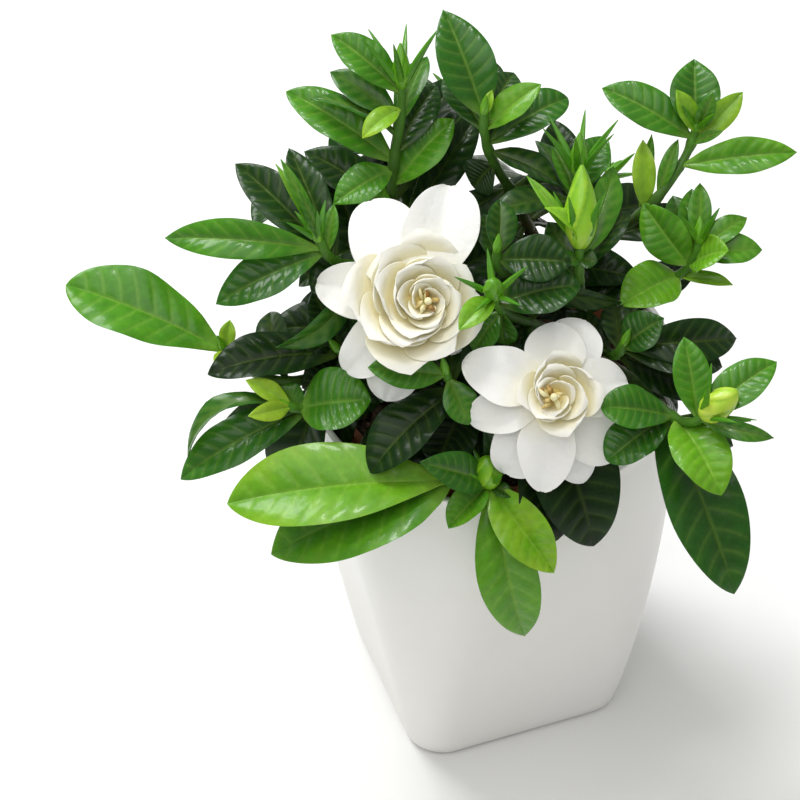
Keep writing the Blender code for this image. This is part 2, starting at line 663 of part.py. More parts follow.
def settle(crown, node, tries):
    """The first blade that is clear of everything, else the first that is clear of the other nodes, else None."""
    second = None
    for blade in tries:
        if crown.clear_of_others(node, blade):
            if crown.clear_of_own(node, blade):
                return blade
            second = second or blade
    return second


def hero_tries(path, leaf):
    slips = (0.0, -0.1, 0.06, -0.2)
    arches = (0.0, 0.1)
    lifts = (0, 5, -5, 10, -10, 15, -15, 20, -20)
    twists = (0, 15, -15, 30, -30)
    for slip, more_arch, lift, twist in product(slips, arches, lifts, twists):
        yield place_leaf(path, leaf, slip, more_arch, lift, twist)


def inside(point, reach):
    """Whether a point is within the crown's ellipsoid of the given reach."""
    away = VIEW_RIGHT.cross(UP) * -1.0
    offset = point - CROWN_MIDDLE
    share = Vector((offset.dot(VIEW_RIGHT) / reach.x, offset.dot(away) / reach.y, offset.z / reach.z))
    return share.length < 1.0


def may_show(shown_tree, blade):
    """Whether a leaf that the picture doesn't show is behind those it shows, or deep in the crown."""
    surface = leaf_surface(blade)
    for u, t in ((0.0, 0.35), (0.0, 0.7), (0.0, 1.0), (-1.0, 0.5), (1.0, 0.5), (-1.0, 0.75), (1.0, 0.75)):
        point = surface(u, t)
        if not inside(point, CROWN_REACH) or point.z < POT_HEIGHT - 30.0:
            return False
        if shown_tree.ray_cast(point + TO_EYE * 0.5, TO_EYE)[0] is not None:
            continue
        if shown_tree.ray_cast(point - TO_EYE * 0.5, -TO_EYE)[0] is not None:
            return False
        if not inside(point, DEEP_REACH):
            return False
    return True


def filler_tries(path, share, turn, spread, length, tone, draw):
    """Blades for a leaf that the picture doesn't show, most wanted first."""
    root = point_on(path, share)
    stem = (way_on(path, share) + UP * 0.4).normalized()
    right = perpendicular(VIEW_RIGHT, stem)
    other = stem.cross(right)
    width = length * draw.uniform(*FILLER_SLENDERNESS)
    arch = draw.uniform(0.08, 0.16)
    for shrink in (1.0, 0.85, 0.7):
        for swing in (0.0, 18.0, -18.0, 36.0, -36.0):
            for dip in (0.0, 14.0, -14.0):
                around = math.radians(turn + swing)
                outward = right * math.cos(around) + other * math.sin(around)
                opening = math.radians(spread + dip)
                way = stem * math.cos(opening) + outward * math.sin(opening)
                tip = root + way * (length * shrink)
                normal = perpendicular(stem + UP, way)
                yield Blade(root, tip, normal, width * shrink, tone, arch, 14.0, 0.56, 1.9, True)


def shoot_ends():
    """For every shoot: its fork, the points it passes after that, and the way that its tip points."""
    ends = {}
    for name, (cutting, bloom_name, _) in BLOOM_SHOOTS.items():
        bloom = BLOOMS[bloom_name]
        apex = bloom.centre - bloom.out * (BLOOM_NECK + GAP + CALYX_LENGTH)
        ends[name] = (CUTTINGS[cutting].fork, [apex], bloom.out)
    for name, shoot in SHOOTS.items():
        apex = seen(*shoot.apex)
        aim = (seen_at_depth(*shoot.aim, depth_of(apex) - 6.0) - apex).normalized()
        points = [apex] if shoot.via is None else [seen(*shoot.via), apex]
        ends[name] = (CUTTINGS[shoot.cutting].fork, points, aim)
    for name, (cutting, apex, aim) in FAR_SHOOTS.items():
        ends[name] = (CUTTINGS[cutting].fork, [apex], aim.normalized())
    return ends


def path_tries(fork, points, aim):
    """Paths for a shoot, the straightest first and then those pushed aside in their lower half."""
    first = points[0] - fork
    right = perpendicular(VIEW_RIGHT, first)
    other = first.normalized().cross(right)
    for reach in (0.0, 4.0, 8.0, 12.0):
        for eighth in range(8 if reach else 1):
            turn = math.pi / 4 * eighth
            push = right * (reach * math.cos(turn)) + other * (reach * math.sin(turn))
            lower = fork + first * 0.42 + push
            yield smooth_path([fork, lower] + points, lower - fork + UP * 4.0, aim + UP * 0.4)


def shoot_paths():
    """The path of every shoot from its fork to its tip, clear of the others and of the blooms."""
    taken = {"wood_" + name: [tree_of(wood_solids(name))] for name in CUTTINGS}
    for name, bloom in BLOOMS.items():
        taken["bloom_" + name] = [tree_of(bloom_solids(bloom))]
    paths = {}
    for name, (fork, points, aim) in shoot_ends().items():
        wood = "wood_" + cutting_of(name)
        for path in path_tries(fork, points, aim):
            stem = tree_of([stem_solid(path, CLEARANCE)])
            branch = tree_of([branch_solid(path, CLEARANCE)])
            stem_blocked = any(stem.overlap(tree) for trees in taken.values() for tree in trees)
            branch_blocked = any(
                branch.overlap(tree) for other, trees in taken.items() if other != wood for tree in trees
            )
            if not stem_blocked and not branch_blocked:
                break
        paths[name] = (path, aim)
        taken[name] = [tree_of([stem_solid(path)])]
        taken[wood].append(tree_of([branch_solid(path)]))
    return paths


def cutting_of(name):
    if name in SHOOTS:
        return SHOOTS[name].cutting
    if name in FAR_SHOOTS:
        return FAR_SHOOTS[name][0]
    return BLOOM_SHOOTS[name][0]


def leaves_of(name):
    if name in SHOOTS:
        return SHOOTS[name].leaves
    if name in BLOOM_SHOOTS:
        return BLOOM_SHOOTS[name][2]
    return ()


def branch_solid(path, grow=0.0):
    """The woody foot of a shoot."""
    return tube(part_of(path, 0.0, WOOD_SHARE, 3), [radius + grow for radius in WOOD_RADII], STEM_SIDES)


def stem_solid(path, grow=0.0):
    """The green stem of a shoot, which starts a small gap above its woody foot."""
    share = WOOD_SHARE + (GAP + grow) / path_length(path)
    points = part_of(path, share, 1.0, STEM_RINGS)
    taper = (SHOOT_END_RADIUS - SHOOT_ROOT_RADIUS) / (STEM_RINGS - 1)
    radii = [SHOOT_ROOT_RADIUS + taper * i + grow for i in range(STEM_RINGS)]
    return tube(points, radii, STEM_SIDES)


def path_length(path):
    return sum((b - a).length for a, b in zip(path, path[1:]))


def calyx_solid(apex, out):
    """The green cup under a bloom."""
    path = [apex + out * (CALYX_LENGTH * s) for s in (-0.2, 0.3, 0.7, 1.0)]
    return tube(path, (SHOOT_END_RADIUS * 0.9, CALYX_RADIUS * 0.8, CALYX_RADIUS, CALYX_RADIUS * 0.85), 8)


def tip_solids(name, path, aim):
    """What ends a shoot: its bud and sepals, or the calyx of its bloom."""
    if name in BLOOM_SHOOTS:
        solids = [calyx_solid(path[-1], aim)]
        right = perpendicular(VIEW_RIGHT, aim)
        other = aim.cross(right)
        for i in range(6):
            turn = 2.0 * math.pi * (i + 0.3) / 6
            outward = right * math.cos(turn) + other * math.sin(turn)
            way = aim * 0.35 + outward * 0.9
            solids.append(sepal(path[-1] + aim * (CALYX_LENGTH * 0.5), way.normalized(), outward, 13.0))
        return solids
    bud = SHOOTS[name].bud if name in SHOOTS else SMALL_BUD
    return bud_solids(path, aim, bud)


def bloom_core_point(bloom, height):
    """The middle of a bloom's core at a height over its centre: it leans towards the heart of the rosette."""
    share = (height + BLOOM_NECK) / (BLOOM_CORE_TOP + BLOOM_NECK)
    right, up = bloom.heart
    return bloom.centre + bloom.out * height + (bloom.right * right + bloom.up * up) * share**3


def bloom_solids(bloom):
    """The core of a bloom and all its petals."""
    core = [bloom_core_point(bloom, height) for height in (-BLOOM_NECK, -7.0, -3.0, 1.0, BLOOM_CORE_TOP)]
    radii = (BLOOM_NECK_RADIUS, BLOOM_NECK_RADIUS * 1.2, BLOOM_CORE_RADIUS, BLOOM_CORE_RADIUS, 2.6)
    solids = [tube(core, radii, 8)]
    for petal in bloom.outer:
        surface = outer_petal_surface(bloom, petal)
        solids.append(thin_solid(surface, OUTER_PETAL_STATIONS, OUTER_PETAL_ACROSS, PETAL_THICKNESS))
    for ring in bloom.rings:
        for index in range(ring.count):
            surface = ring_petal_surface(bloom, ring, index)
            solids.append(thin_solid(surface, RING_PETAL_STATIONS, RING_PETAL_ACROSS, PETAL_THICKNESS))
    return solids


def wood_solids(name):
    """A cutting: its trunk, from inside the soil to its fork, and the woody foot of each of its shoots."""
    cutting = CUTTINGS[name]
    foot = Vector((cutting.x, cutting.y, SOIL_TOP - STEM_HOLE_DEPTH + 1.0))
    ground = Vector((cutting.x, cutting.y, SOIL_TOP + 3.0))
    above = ground.lerp(cutting.fork, 0.6)
    trunk = [foot, ground, above, cutting.fork]
    return [tube(trunk, (TRUNK_RADIUS, TRUNK_RADIUS, FORK_RADIUS * 1.08, FORK_RADIUS), STEM_SIDES + 1)]


def plan_crown():
    """Places every leaf: those that the picture shows first, then the others, each bent clear of the rest."""
    paths = shoot_paths()
    crown = Crown()
    for name in CUTTINGS:
        crown.add("wood_" + name, wood_solids(name))
    for name, (path, aim) in paths.items():
        crown.add("wood_" + cutting_of(name), [branch_solid(path)])
        crown.add(name, [stem_solid(path)] + tip_solids(name, path, aim), shown=True)
    for name, bloom in BLOOMS.items():
        crown.add("bloom_" + name, bloom_solids(bloom), shown=True)
    crown.add("cover_pot", [cover_pot_solid()])
    crown.add("nursery_pot", [nursery_pot_solid()])
    crown.add("soil", [soil_solid()])
    blades = {name: [] for name in paths}
    for name, (path, _) in paths.items():
        for leaf in leaves_of(name):
            blade = settle(crown, name, hero_tries(path, leaf))
            if blade is not None:
                blades[name].append(blade)
                crown.add_leaf(name, blade, shown=True)
    add_fillers(crown, paths, blades)
    return paths, blades


def add_fillers(crown, paths, blades):
    """Leaves in opposite pairs along every shoot, wherever the picture leaves them unseen."""
    shown_tree = tree_of(crown.shown)
    draw = random.Random(FILLER_SEED)
    for name, (path, _) in paths.items():
        far = name in FAR_SHOOTS
        nodes = max(3 if far else 2, round(path_length(path) * (1.0 - WOOD_SHARE) / FILLER_SPACING))
        first = WOOD_SHARE + FILLER_FOOT
        last = FAR_FILLER_END if far else FILLER_END
        for node in range(nodes):
            share = first + (last - first) * node / (nodes - 1)
            lean = draw.uniform(0.0, 90.0)
            for side in range(2):
                turn = lean + 180.0 * side + draw.uniform(-15.0, 15.0)
                length = draw.uniform(*FILLER_LENGTH)
                spread = 88.0 - 34.0 * node / nodes + draw.uniform(-8.0, 8.0)
                tone = 0.05 + 0.3 * (node / nodes) ** 2
                tries = filler_tries(path, share, turn, spread, length, tone, draw)
                blade = settle(crown, name, (blade for blade in tries if may_show(shown_tree, blade)))
                if blade is not None:
                    blades[name].append(blade)
                    crown.add_leaf(name, blade, shown=False)


def rounded_square(half, corner, steps):
    """An outline with round corners, as (x, y) pairs. A corner as large as half makes it a circle."""
    outline = []
    for quarter in range(4):
        for step in range(steps + 1):
            turn = math.pi / 2 * (quarter + step / steps)
            middle_x = (half - corner) * (1 if quarter in (0, 3) else -1)
            middle_y = (half - corner) * (1 if quarter in (0, 1) else -1)
            outline.append((middle_x + corner * math.cos(turn), middle_y + corner * math.sin(turn)))
    return outline


def cover_pot_half(share):
    """Half the cover pot's width at a share of its height, and its corner radius there."""
    half = BASE_WIDTH / 2 + (MOUTH_WIDTH - BASE_WIDTH) / 2 * (1.0 - (1.0 - share) ** POT_FLARE)
    corner = BASE_CORNER + (half - BASE_CORNER) * share**POT_ROUNDING
    return half, min(corner, half * 0.985)


def cover_pot_rings():
    """(half width, corner radius, height) of each ring, up the outside, over the rim and down the inside."""
    half, corner = cover_pot_half(0.0)
    rings = [(half - POT_FOOT_ROUND, corner - POT_FOOT_ROUND, 0.0)]
    rings.append((half - POT_FOOT_ROUND * 0.25, corner - POT_FOOT_ROUND * 0.25, POT_FOOT_ROUND * 0.35))
    for i in range(POT_RINGS + 1):
        share = (POT_FOOT_ROUND + 1.0) / POT_HEIGHT if i == 0 else i / POT_RINGS
        half, corner = cover_pot_half(share)
        height = share * POT_HEIGHT - (1.0 if i == POT_RINGS else 0.0)
        rings.append((half, corner, height))
    half, corner = cover_pot_half(1.0)
    rings.append((half - 0.7, corner - 0.7, POT_HEIGHT))
    rings.append((half - POT_WALL + 0.7, corner - POT_WALL + 0.7, POT_HEIGHT))
    for i in range(POT_INNER_RINGS, 0, -1):
        half, corner = cover_pot_half(i / POT_INNER_RINGS)
        height = i / POT_INNER_RINGS * POT_HEIGHT - (1.0 if i == POT_INNER_RINGS else 0.0)
        rings.append((half - POT_WALL, corner - POT_WALL, height))
    half, corner = cover_pot_half(POT_FLOOR / POT_HEIGHT)
    rings.append((half - POT_WALL, corner - POT_WALL, POT_FLOOR))
    return rings


def loft(outlines, heights):
    """Points and faces of a closed solid through a stack of outlines with the same number of points."""
    points = [Vector((x, y, z)) for outline, z in zip(outlines, heights) for x, y in outline]
    count = len(outlines[0])
    faces = []
    for i in range(len(outlines) - 1):
        for k in range(count):
            a = i * count + k
            b = i * count + (k + 1) % count
            faces.append((a, b, b + count, a + count))
    faces.append(tuple(reversed(range(count))))
    faces.append(tuple(range(len(points) - count, len(points))))
    return points, faces


def cover_pot_solid():
    rings = cover_pot_rings()
    outlines = [rounded_square(half, corner, POT_CORNER_STEPS) for half, corner, _ in rings]
    return loft(outlines, [height for _, _, height in rings])


def circle(radius, sides):
    return [
        (radius * math.cos(2 * math.pi * k / sides), radius * math.sin(2 * math.pi * k / sides))
        for k in range(sides)
    ]


def turned(profile, sides):
    """A closed solid turned from (radius, height) pairs, from the middle of its foot to the middle of its top."""
    return loft([circle(radius, sides) for radius, _ in profile], [height for _, height in profile])


def nursery_radius(height):
    """The outer radius of the nursery pot's wall at a height above the floor."""
    foot = POT_FLOOR + GAP
    share = (height - foot) / (NURSERY_TOP - foot)
    return NURSERY_BASE_RADIUS + (NURSERY_MOUTH_RADIUS - NURSERY_RIM_PROUD - NURSERY_BASE_RADIUS) * share


def nursery_pot_solid():
    foot = POT_FLOOR + GAP
    rim_foot = NURSERY_TOP - NURSERY_RIM_HEIGHT
    profile = [
        (nursery_radius(foot) - 1.5, foot),
        (nursery_radius(foot), foot + 1.5),
        (nursery_radius(rim_foot), rim_foot),
        (nursery_radius(rim_foot) + NURSERY_RIM_PROUD, rim_foot + 0.6),
        (NURSERY_MOUTH_RADIUS, NURSERY_TOP - 0.6),
        (NURSERY_MOUTH_RADIUS - 0.5, NURSERY_TOP),
        (NURSERY_MOUTH_RADIUS - NURSERY_RIM_PROUD - NURSERY_WALL, NURSERY_TOP),
        (nursery_radius(rim_foot) - NURSERY_WALL, rim_foot),
        (nursery_radius(foot + NURSERY_FLOOR) - NURSERY_WALL, foot + NURSERY_FLOOR),
    ]
    return turned(profile, NURSERY_SIDES)


def soil_solid():
    """The soil that fills the nursery pot, with a lumpy top."""
    foot = POT_FLOOR + GAP + NURSERY_FLOOR + GAP
    rim_foot = NURSERY_TOP - NURSERY_RIM_HEIGHT
    fit = NURSERY_WALL + 2 * GAP
    profile = [
        (nursery_radius(foot) - fit, foot),
        (nursery_radius(SOIL_TOP) - fit, min(SOIL_TOP, rim_foot)),
        (nursery_radius(SOIL_TOP) - fit - 5.0, SOIL_TOP + 1.0),
        (nursery_radius(SOIL_TOP) - fit - 20.0, SOIL_TOP),
        (10.0, SOIL_TOP + 1.0),
    ]
    points, faces = turned(profile, NURSERY_SIDES)
    draw = random.Random(SOIL_SEED)
    for point in points[2 * NURSERY_SIDES:]:
        point.z += draw.uniform(-SOIL_LUMP, SOIL_LUMP) * 0.5
    return points, faces


def clear_scene():
    for obj in list(bpy.data.objects):
        bpy.data.objects.remove(obj)


def material(name, color, roughness):
    made = bpy.data.materials.new(name)
    made.use_nodes = True
    shader = made.node_tree.nodes["Principled BSDF"]
    shader.inputs["Base Color"].default_value = (*color, 1.0)
    shader.inputs["Roughness"].default_value = roughness
    shader.inputs["Metallic"].default_value = 0.0
    return made


def new_object(name, points, faces, surface=None):
    """An object from points in millimetres, with its faces turned outwards."""
    mesh = bpy.data.meshes.new(name)
    mesh.from_pydata([point * MM for point in points], [], faces)
    shape = bmesh.new()
    shape.from_mesh(mesh)
    bmesh.ops.recalc_face_normals(shape, faces=shape.faces)
    shape.to_mesh(mesh)
    shape.free()
    obj = bpy.data.objects.new(name, mesh)
    bpy.context.scene.collection.objects.link(obj)
    if surface is not None:
        mesh.materials.append(surface)
    return obj


def island_volume(faces):
    """The volume inside a closed set of triangles or convex faces."""
    total = 0.0
    for face in faces:
        corners = [vert.co for vert in face.verts]
        for second, third in zip(corners[1:], corners[2:]):
            total += corners[0].dot(second.cross(third)) / 6.0
    return total


def keep_largest_body(mesh):
    """Drops the loose scraps and the sealed hollows that a union can leave."""
    shape = bmesh.new()
    shape.from_mesh(mesh)
    left = set(shape.faces)
    islands = []
    while left:
        queue = [left.pop()]
        island = list(queue)
        while queue:
            for edge in queue.pop().edges:
                for face in edge.link_faces:
                    if face in left:
                        left.remove(face)
                        queue.append(face)
                        island.append(face)
        islands.append(island)
    main = max(islands, key=island_volume)
    extra = [face for island in islands if island is not main for face in island]
    bmesh.ops.delete(shape, geom=extra, context="FACES")
    shape.to_mesh(mesh)
    shape.free()


def fused(name, solids, surface, solver="EXACT"):
    """One object: the union of a list of (points, faces)."""
    obj = new_object(name, *solids[0], surface)
    group = bpy.data.collections.new(name + "_pieces")
    bpy.context.scene.collection.children.link(group)
    for points, faces in solids[1:]:
        piece = new_object(name + "_piece", points, faces)
        bpy.context.scene.collection.objects.unlink(piece)
        group.objects.link(piece)
    apply_boolean(obj, "UNION", solver, group)
    for piece in list(group.objects):
        bpy.data.objects.remove(piece)
    bpy.data.collections.remove(group)
    keep_largest_body(obj.data)
    return obj


def apply_boolean(obj, operation, solver, group):
    """Joins a collection's objects to an object, or cuts them from it."""
    boolean = obj.modifiers.new(operation.title(), "BOOLEAN")
    boolean.operation = operation
    boolean.solver = solver
    boolean.operand_type = "COLLECTION"
    boolean.collection = group
    graph = bpy.context.evaluated_depsgraph_get()
    result = bpy.data.meshes.new_from_object(obj.evaluated_get(graph))
    obj.modifiers.remove(boolean)
    old = obj.data
    obj.data = result
    bpy.data.meshes.remove(old)


def bored(obj, places, radius, low, high, sides):
    """Cuts plain round holes in an object."""
    group = bpy.data.collections.new(obj.name + "_holes")
    bpy.context.scene.collection.children.link(group)
    for x, y in places:
        axis = [Vector((x, y, low)), Vector((x, y, high))]
        hole = new_object("hole", *tube(axis, (radius, radius), sides))
        bpy.context.scene.collection.objects.unlink(hole)
        group.objects.link(hole)
    apply_boolean(obj, "DIFFERENCE", "EXACT", group)
    for hole in list(group.objects):
        bpy.data.objects.remove(hole)
    bpy.data.collections.remove(group)


def shade(obj, angle):
    obj.data.shade_smooth()
    obj.data.set_sharp_from_angle(angle=math.radians(angle))


def build_pots_and_soil():
    white = material("white_cover_pot", (0.86, 0.86, 0.83), 0.42)
    terracotta = material("terracotta_plastic", (0.52, 0.2, 0.1), 0.55)
    peat = material("potting_soil", (0.045, 0.03, 0.02), 0.95)
    shade(new_object("cover_pot", *cover_pot_solid(), white), 40)
    nursery = new_object("nursery_pot", *nursery_pot_solid(), terracotta)
    drains = [circle(DRAIN_CIRCLE, DRAIN_HOLES)[i] for i in range(DRAIN_HOLES)]
    bored(nursery, drains, DRAIN_RADIUS, POT_FLOOR - 1.0, POT_FLOOR + NURSERY_FLOOR + 4.0, 8)
    shade(nursery, 40)
    soil = new_object("soil", *soil_solid(), peat)
    stems = [(cutting.x, cutting.y) for cutting in CUTTINGS.values()]
    bored(soil, stems, STEM_HOLE_RADIUS, SOIL_TOP - STEM_HOLE_DEPTH, SOIL_TOP + 10.0, 8)
    shade(soil, 60)


def build_plant():
    paths, blades = plan_crown()
    bark = material("bark", (0.16, 0.11, 0.06), 0.8)
    green = material("leaf_green", (0.07, 0.2, 0.03), 0.35)
    white = material("petal_white", (0.88, 0.86, 0.76), 0.5)
    for cutting in CUTTINGS:
        solids = wood_solids(cutting)
        for name, (path, _) in paths.items():
            if cutting_of(name) == cutting:
                solids.append(branch_solid(path))
        fused("wood_" + cutting, solids, bark)
    for name, (path, aim) in paths.items():
        solids = [stem_solid(path)] + tip_solids(name, path, aim)
        solids += [leaf_solid(blade) for blade in blades[name]]
        shade(fused(name, solids, green, "MANIFOLD"), 30)
    for name, bloom in BLOOMS.items():
        shade(fused("bloom_" + name, bloom_solids(bloom), white, "MANIFOLD"), 40)


clear_scene()
build_pots_and_soil()
build_plant()
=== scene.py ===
"""The looks of a potted double gardenia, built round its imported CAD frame.

The layout of shoots, leaves and petals is worked out from the same values and in the same way as the
frame's solids, so each fine piece lies where the plain one does. Lengths are in millimetres until a mesh is
made. X and Y run along the sides of the pot's base, Z is up, and the origin is at the middle of the base.
"""

import math
import random
from collections import namedtuple
from itertools import product

import bpy
import numpy as np
from mathutils import Matrix, Vector
from mathutils.bvhtree import BVHTree


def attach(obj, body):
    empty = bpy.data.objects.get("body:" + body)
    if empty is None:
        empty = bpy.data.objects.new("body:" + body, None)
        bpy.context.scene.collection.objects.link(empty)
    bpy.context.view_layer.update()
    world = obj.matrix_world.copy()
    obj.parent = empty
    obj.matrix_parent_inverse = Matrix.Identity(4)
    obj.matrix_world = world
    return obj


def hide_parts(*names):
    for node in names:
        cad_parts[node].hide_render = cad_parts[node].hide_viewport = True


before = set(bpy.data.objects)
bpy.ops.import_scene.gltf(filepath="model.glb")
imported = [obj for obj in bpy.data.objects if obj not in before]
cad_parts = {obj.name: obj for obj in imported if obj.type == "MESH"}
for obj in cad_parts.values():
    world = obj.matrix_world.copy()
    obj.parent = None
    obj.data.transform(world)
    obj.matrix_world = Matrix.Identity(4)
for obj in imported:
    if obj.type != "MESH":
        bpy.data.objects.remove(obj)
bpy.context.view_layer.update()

MM = 0.001
GAP = 0.3
UP = Vector((0.0, 0.0, 1.0))

# The white cover pot.
POT_HEIGHT = 168.0
MOUTH_WIDTH = 140.0
BASE_WIDTH = 88.0
BASE_CORNER = 15.0
POT_WALL = 2.6
POT_FLOOR = 4.0
POT_FLARE = 1.2
POT_ROUNDING = 1.24
POT_FOOT_ROUND = 2.5

# The nursery pot inside it, and its soil.
NURSERY_TOP = 164.5
NURSERY_MOUTH_RADIUS = 61.0
NURSERY_BASE_RADIUS = 39.5
NURSERY_WALL = 1.5
NURSERY_FLOOR = 2.0
NURSERY_RIM_HEIGHT = 9.0
NURSERY_RIM_PROUD = 1.6
SOIL_TOP = 150.0

# Woody cuttings and green shoots.
STEM_HOLE_DEPTH = 45.0
TRUNK_RADIUS = 4.2
FORK_RADIUS = 3.4
WOOD_RADII = (3.2, 2.9, 2.4)
SHOOT_ROOT_RADIUS = 2.3
SHOOT_END_RADIUS = 1.4
WOOD_SHARE = 0.36
STEM_SIDES = 4
STEM_RINGS = 5

# Leaves and petals.
LEAF_THICKNESS = 1.2
LEAF_STATIONS = (0.0, 0.22, 0.5, 0.8, 1.0)
SMALL_LEAF_STATIONS = (0.0, 0.3, 0.7, 1.0)
SMALL_LEAF_WIDTH = 17.0
LEAF_TRIMMED = (0.24, 0.5, 0.8, 1.0)
LEAF_ACROSS = (-1.0, 0.0, 1.0)
PETIOLE_HALF_WIDTH = 0.9
CLEARANCE = 0.8
PETAL_THICKNESS = 1.1
OUTER_PETAL_STATIONS = (0.0, 0.45, 0.75, 0.93, 0.99)
OUTER_PETAL_ACROSS = (-1.0, -0.45, 0.45, 1.0)
RING_PETAL_STATIONS = (0.0, 0.5, 0.85, 0.985)
RING_PETAL_ACROSS = (-1.0, -0.4, 0.4, 1.0)

# The viewpoint that the plant's shoots and leaves were read from: a picture of 800 by 800 pixels.
VIEW_AZIMUTH = math.radians(-20.0)
VIEW_ELEVATION = math.radians(46.4)
VIEW_DISTANCE = 1720.0
VIEW_TARGET = Vector((16.4, 145.4, 0.0))
VIEW_FOCAL_PIXELS = 4000.0
VIEW_MIDDLE_PIXEL = 400.0

TO_EYE = Vector((
    math.sin(VIEW_AZIMUTH) * math.cos(VIEW_ELEVATION),
    -math.cos(VIEW_AZIMUTH) * math.cos(VIEW_ELEVATION),
    math.sin(VIEW_ELEVATION),
))
EYE = VIEW_TARGET + TO_EYE * VIEW_DISTANCE
VIEW_RIGHT = Vector((math.cos(VIEW_AZIMUTH), math.sin(VIEW_AZIMUTH), 0.0))
VIEW_UP = VIEW_RIGHT.cross(-TO_EYE)
SKY = (UP + TO_EYE * 0.8).normalized()

# The crown: how far leaves that the picture doesn't show may reach.
CROWN_MIDDLE = Vector((-20.0, 10.0, 205.0))
CROWN_REACH = Vector((106.0, 120.0, 88.0))
DEEP_REACH = Vector((74.0, 62.0, 80.0))
FILLER_SEED = 11
FILLER_SPACING = 22.0
FILLER_LENGTH = (42.0, 60.0)
FILLER_SLENDERNESS = (0.38, 0.46)
FILLER_FOOT = 0.05
FILLER_END = 0.85
FAR_FILLER_END = 0.95
FILLER_ARCH = (0.08, 0.16)
FILLER_FOLD = 14.0
FILLER_PEAK = 0.56
FILLER_FULL = 1.9
FILLER_OPENING = 88.0
FILLER_CLOSING = 34.0
FILLER_SHRINKS = (1.0, 0.85, 0.7)
FILLER_SWINGS = (0.0, 18.0, -18.0, 36.0, -36.0)
FILLER_DIPS = (0.0, 14.0, -14.0)
LOWEST_LEAF = POT_HEIGHT - 30.0
LEAF_PROBES = ((0.0, 0.35), (0.0, 0.7), (0.0, 1.0), (-1.0, 0.5), (1.0, 0.5), (-1.0, 0.75), (1.0, 0.75))
RAY_START = 0.5

# The paths of the shoots: how far their tips point to the viewer, and how they are pushed aside.
AIM_NEARER = 6.0
PATH_PUSHES = (0.0, 4.0, 8.0, 12.0)
PUSHED_SHARE = 0.42
START_LIFT = 4.0
END_LIFT = 0.4

Cutting = namedtuple("Cutting", "x y fork")
Bud = namedtuple("Bud", "length width sepals sepal_length flare phase", defaults=(0.35,))
Leaf = namedtuple(
    "Leaf",
    "at tip nearer width tone roll arch fold peak full",
    defaults=(0.0, 16.0, 0.5, 0.0, 0.08, 14.0, 0.55, 2.0),
)
Shoot = namedtuple("Shoot", "cutting apex aim bud leaves via", defaults=(None,))
Blade = namedtuple("Blade", "root tip normal width tone arch fold peak full filler", defaults=(False,))
Petal = namedtuple("Petal", "clock reach width rise curl cup level aside blunt", defaults=(0.0, 0.0, 6.0))
Ring = namedtuple("Ring", "count radius level height phase lip right up")
Bloom = namedtuple("Bloom", "centre right up out outer rings twist heart")

CUTTINGS = {
    "front": Cutting(-7.0, -21.0, Vector((-9.0, -29.0, 173.0))),
    "left": Cutting(-27.0, 7.0, Vector((-33.0, 8.0, 176.0))),
    "back_left": Cutting(-7.0, 27.0, Vector((-11.0, 33.0, 186.0))),
    "back_right": Cutting(24.0, 17.0, Vector((30.0, 20.0, 186.0))),
    "right": Cutting(24.0, -11.0, Vector((31.0, -13.0, 176.0))),
}

BIG_BUD = Bud(28.0, 12.0, 5, 15.0, 14.0)
ROUND_BUD = Bud(15.0, 10.5, 5, 13.0, 38.0, 0.85)
FRONT_BUD = Bud(12.0, 10.0, 4, 11.0, 30.0)
CENTRE_BUD = Bud(9.0, 7.4, 5, 12.0, 52.0)
CALYX_BUD = Bud(15.0, 6.5, 6, 19.0, 30.0)
SMALL_BUD = Bud(9.0, 4.5, 4, 11.0, 30.0)
TIP_BUD = Bud(7.0, 3.2, 0, 0.0, 0.0)
SEPAL_FOOT = 0.12
SEPAL_OFFSET = 0.34
SEPAL_BEND = 0.15
SEPAL_RADII = (1.0, 0.15)
BUD_SUNK = 1.8
BUD_SHARES = (0.0, 0.16, 0.4, 0.78, 1.0)
BUD_GIRTHS = (0.36, 0.84, 1.0, 0.58, 0.1)

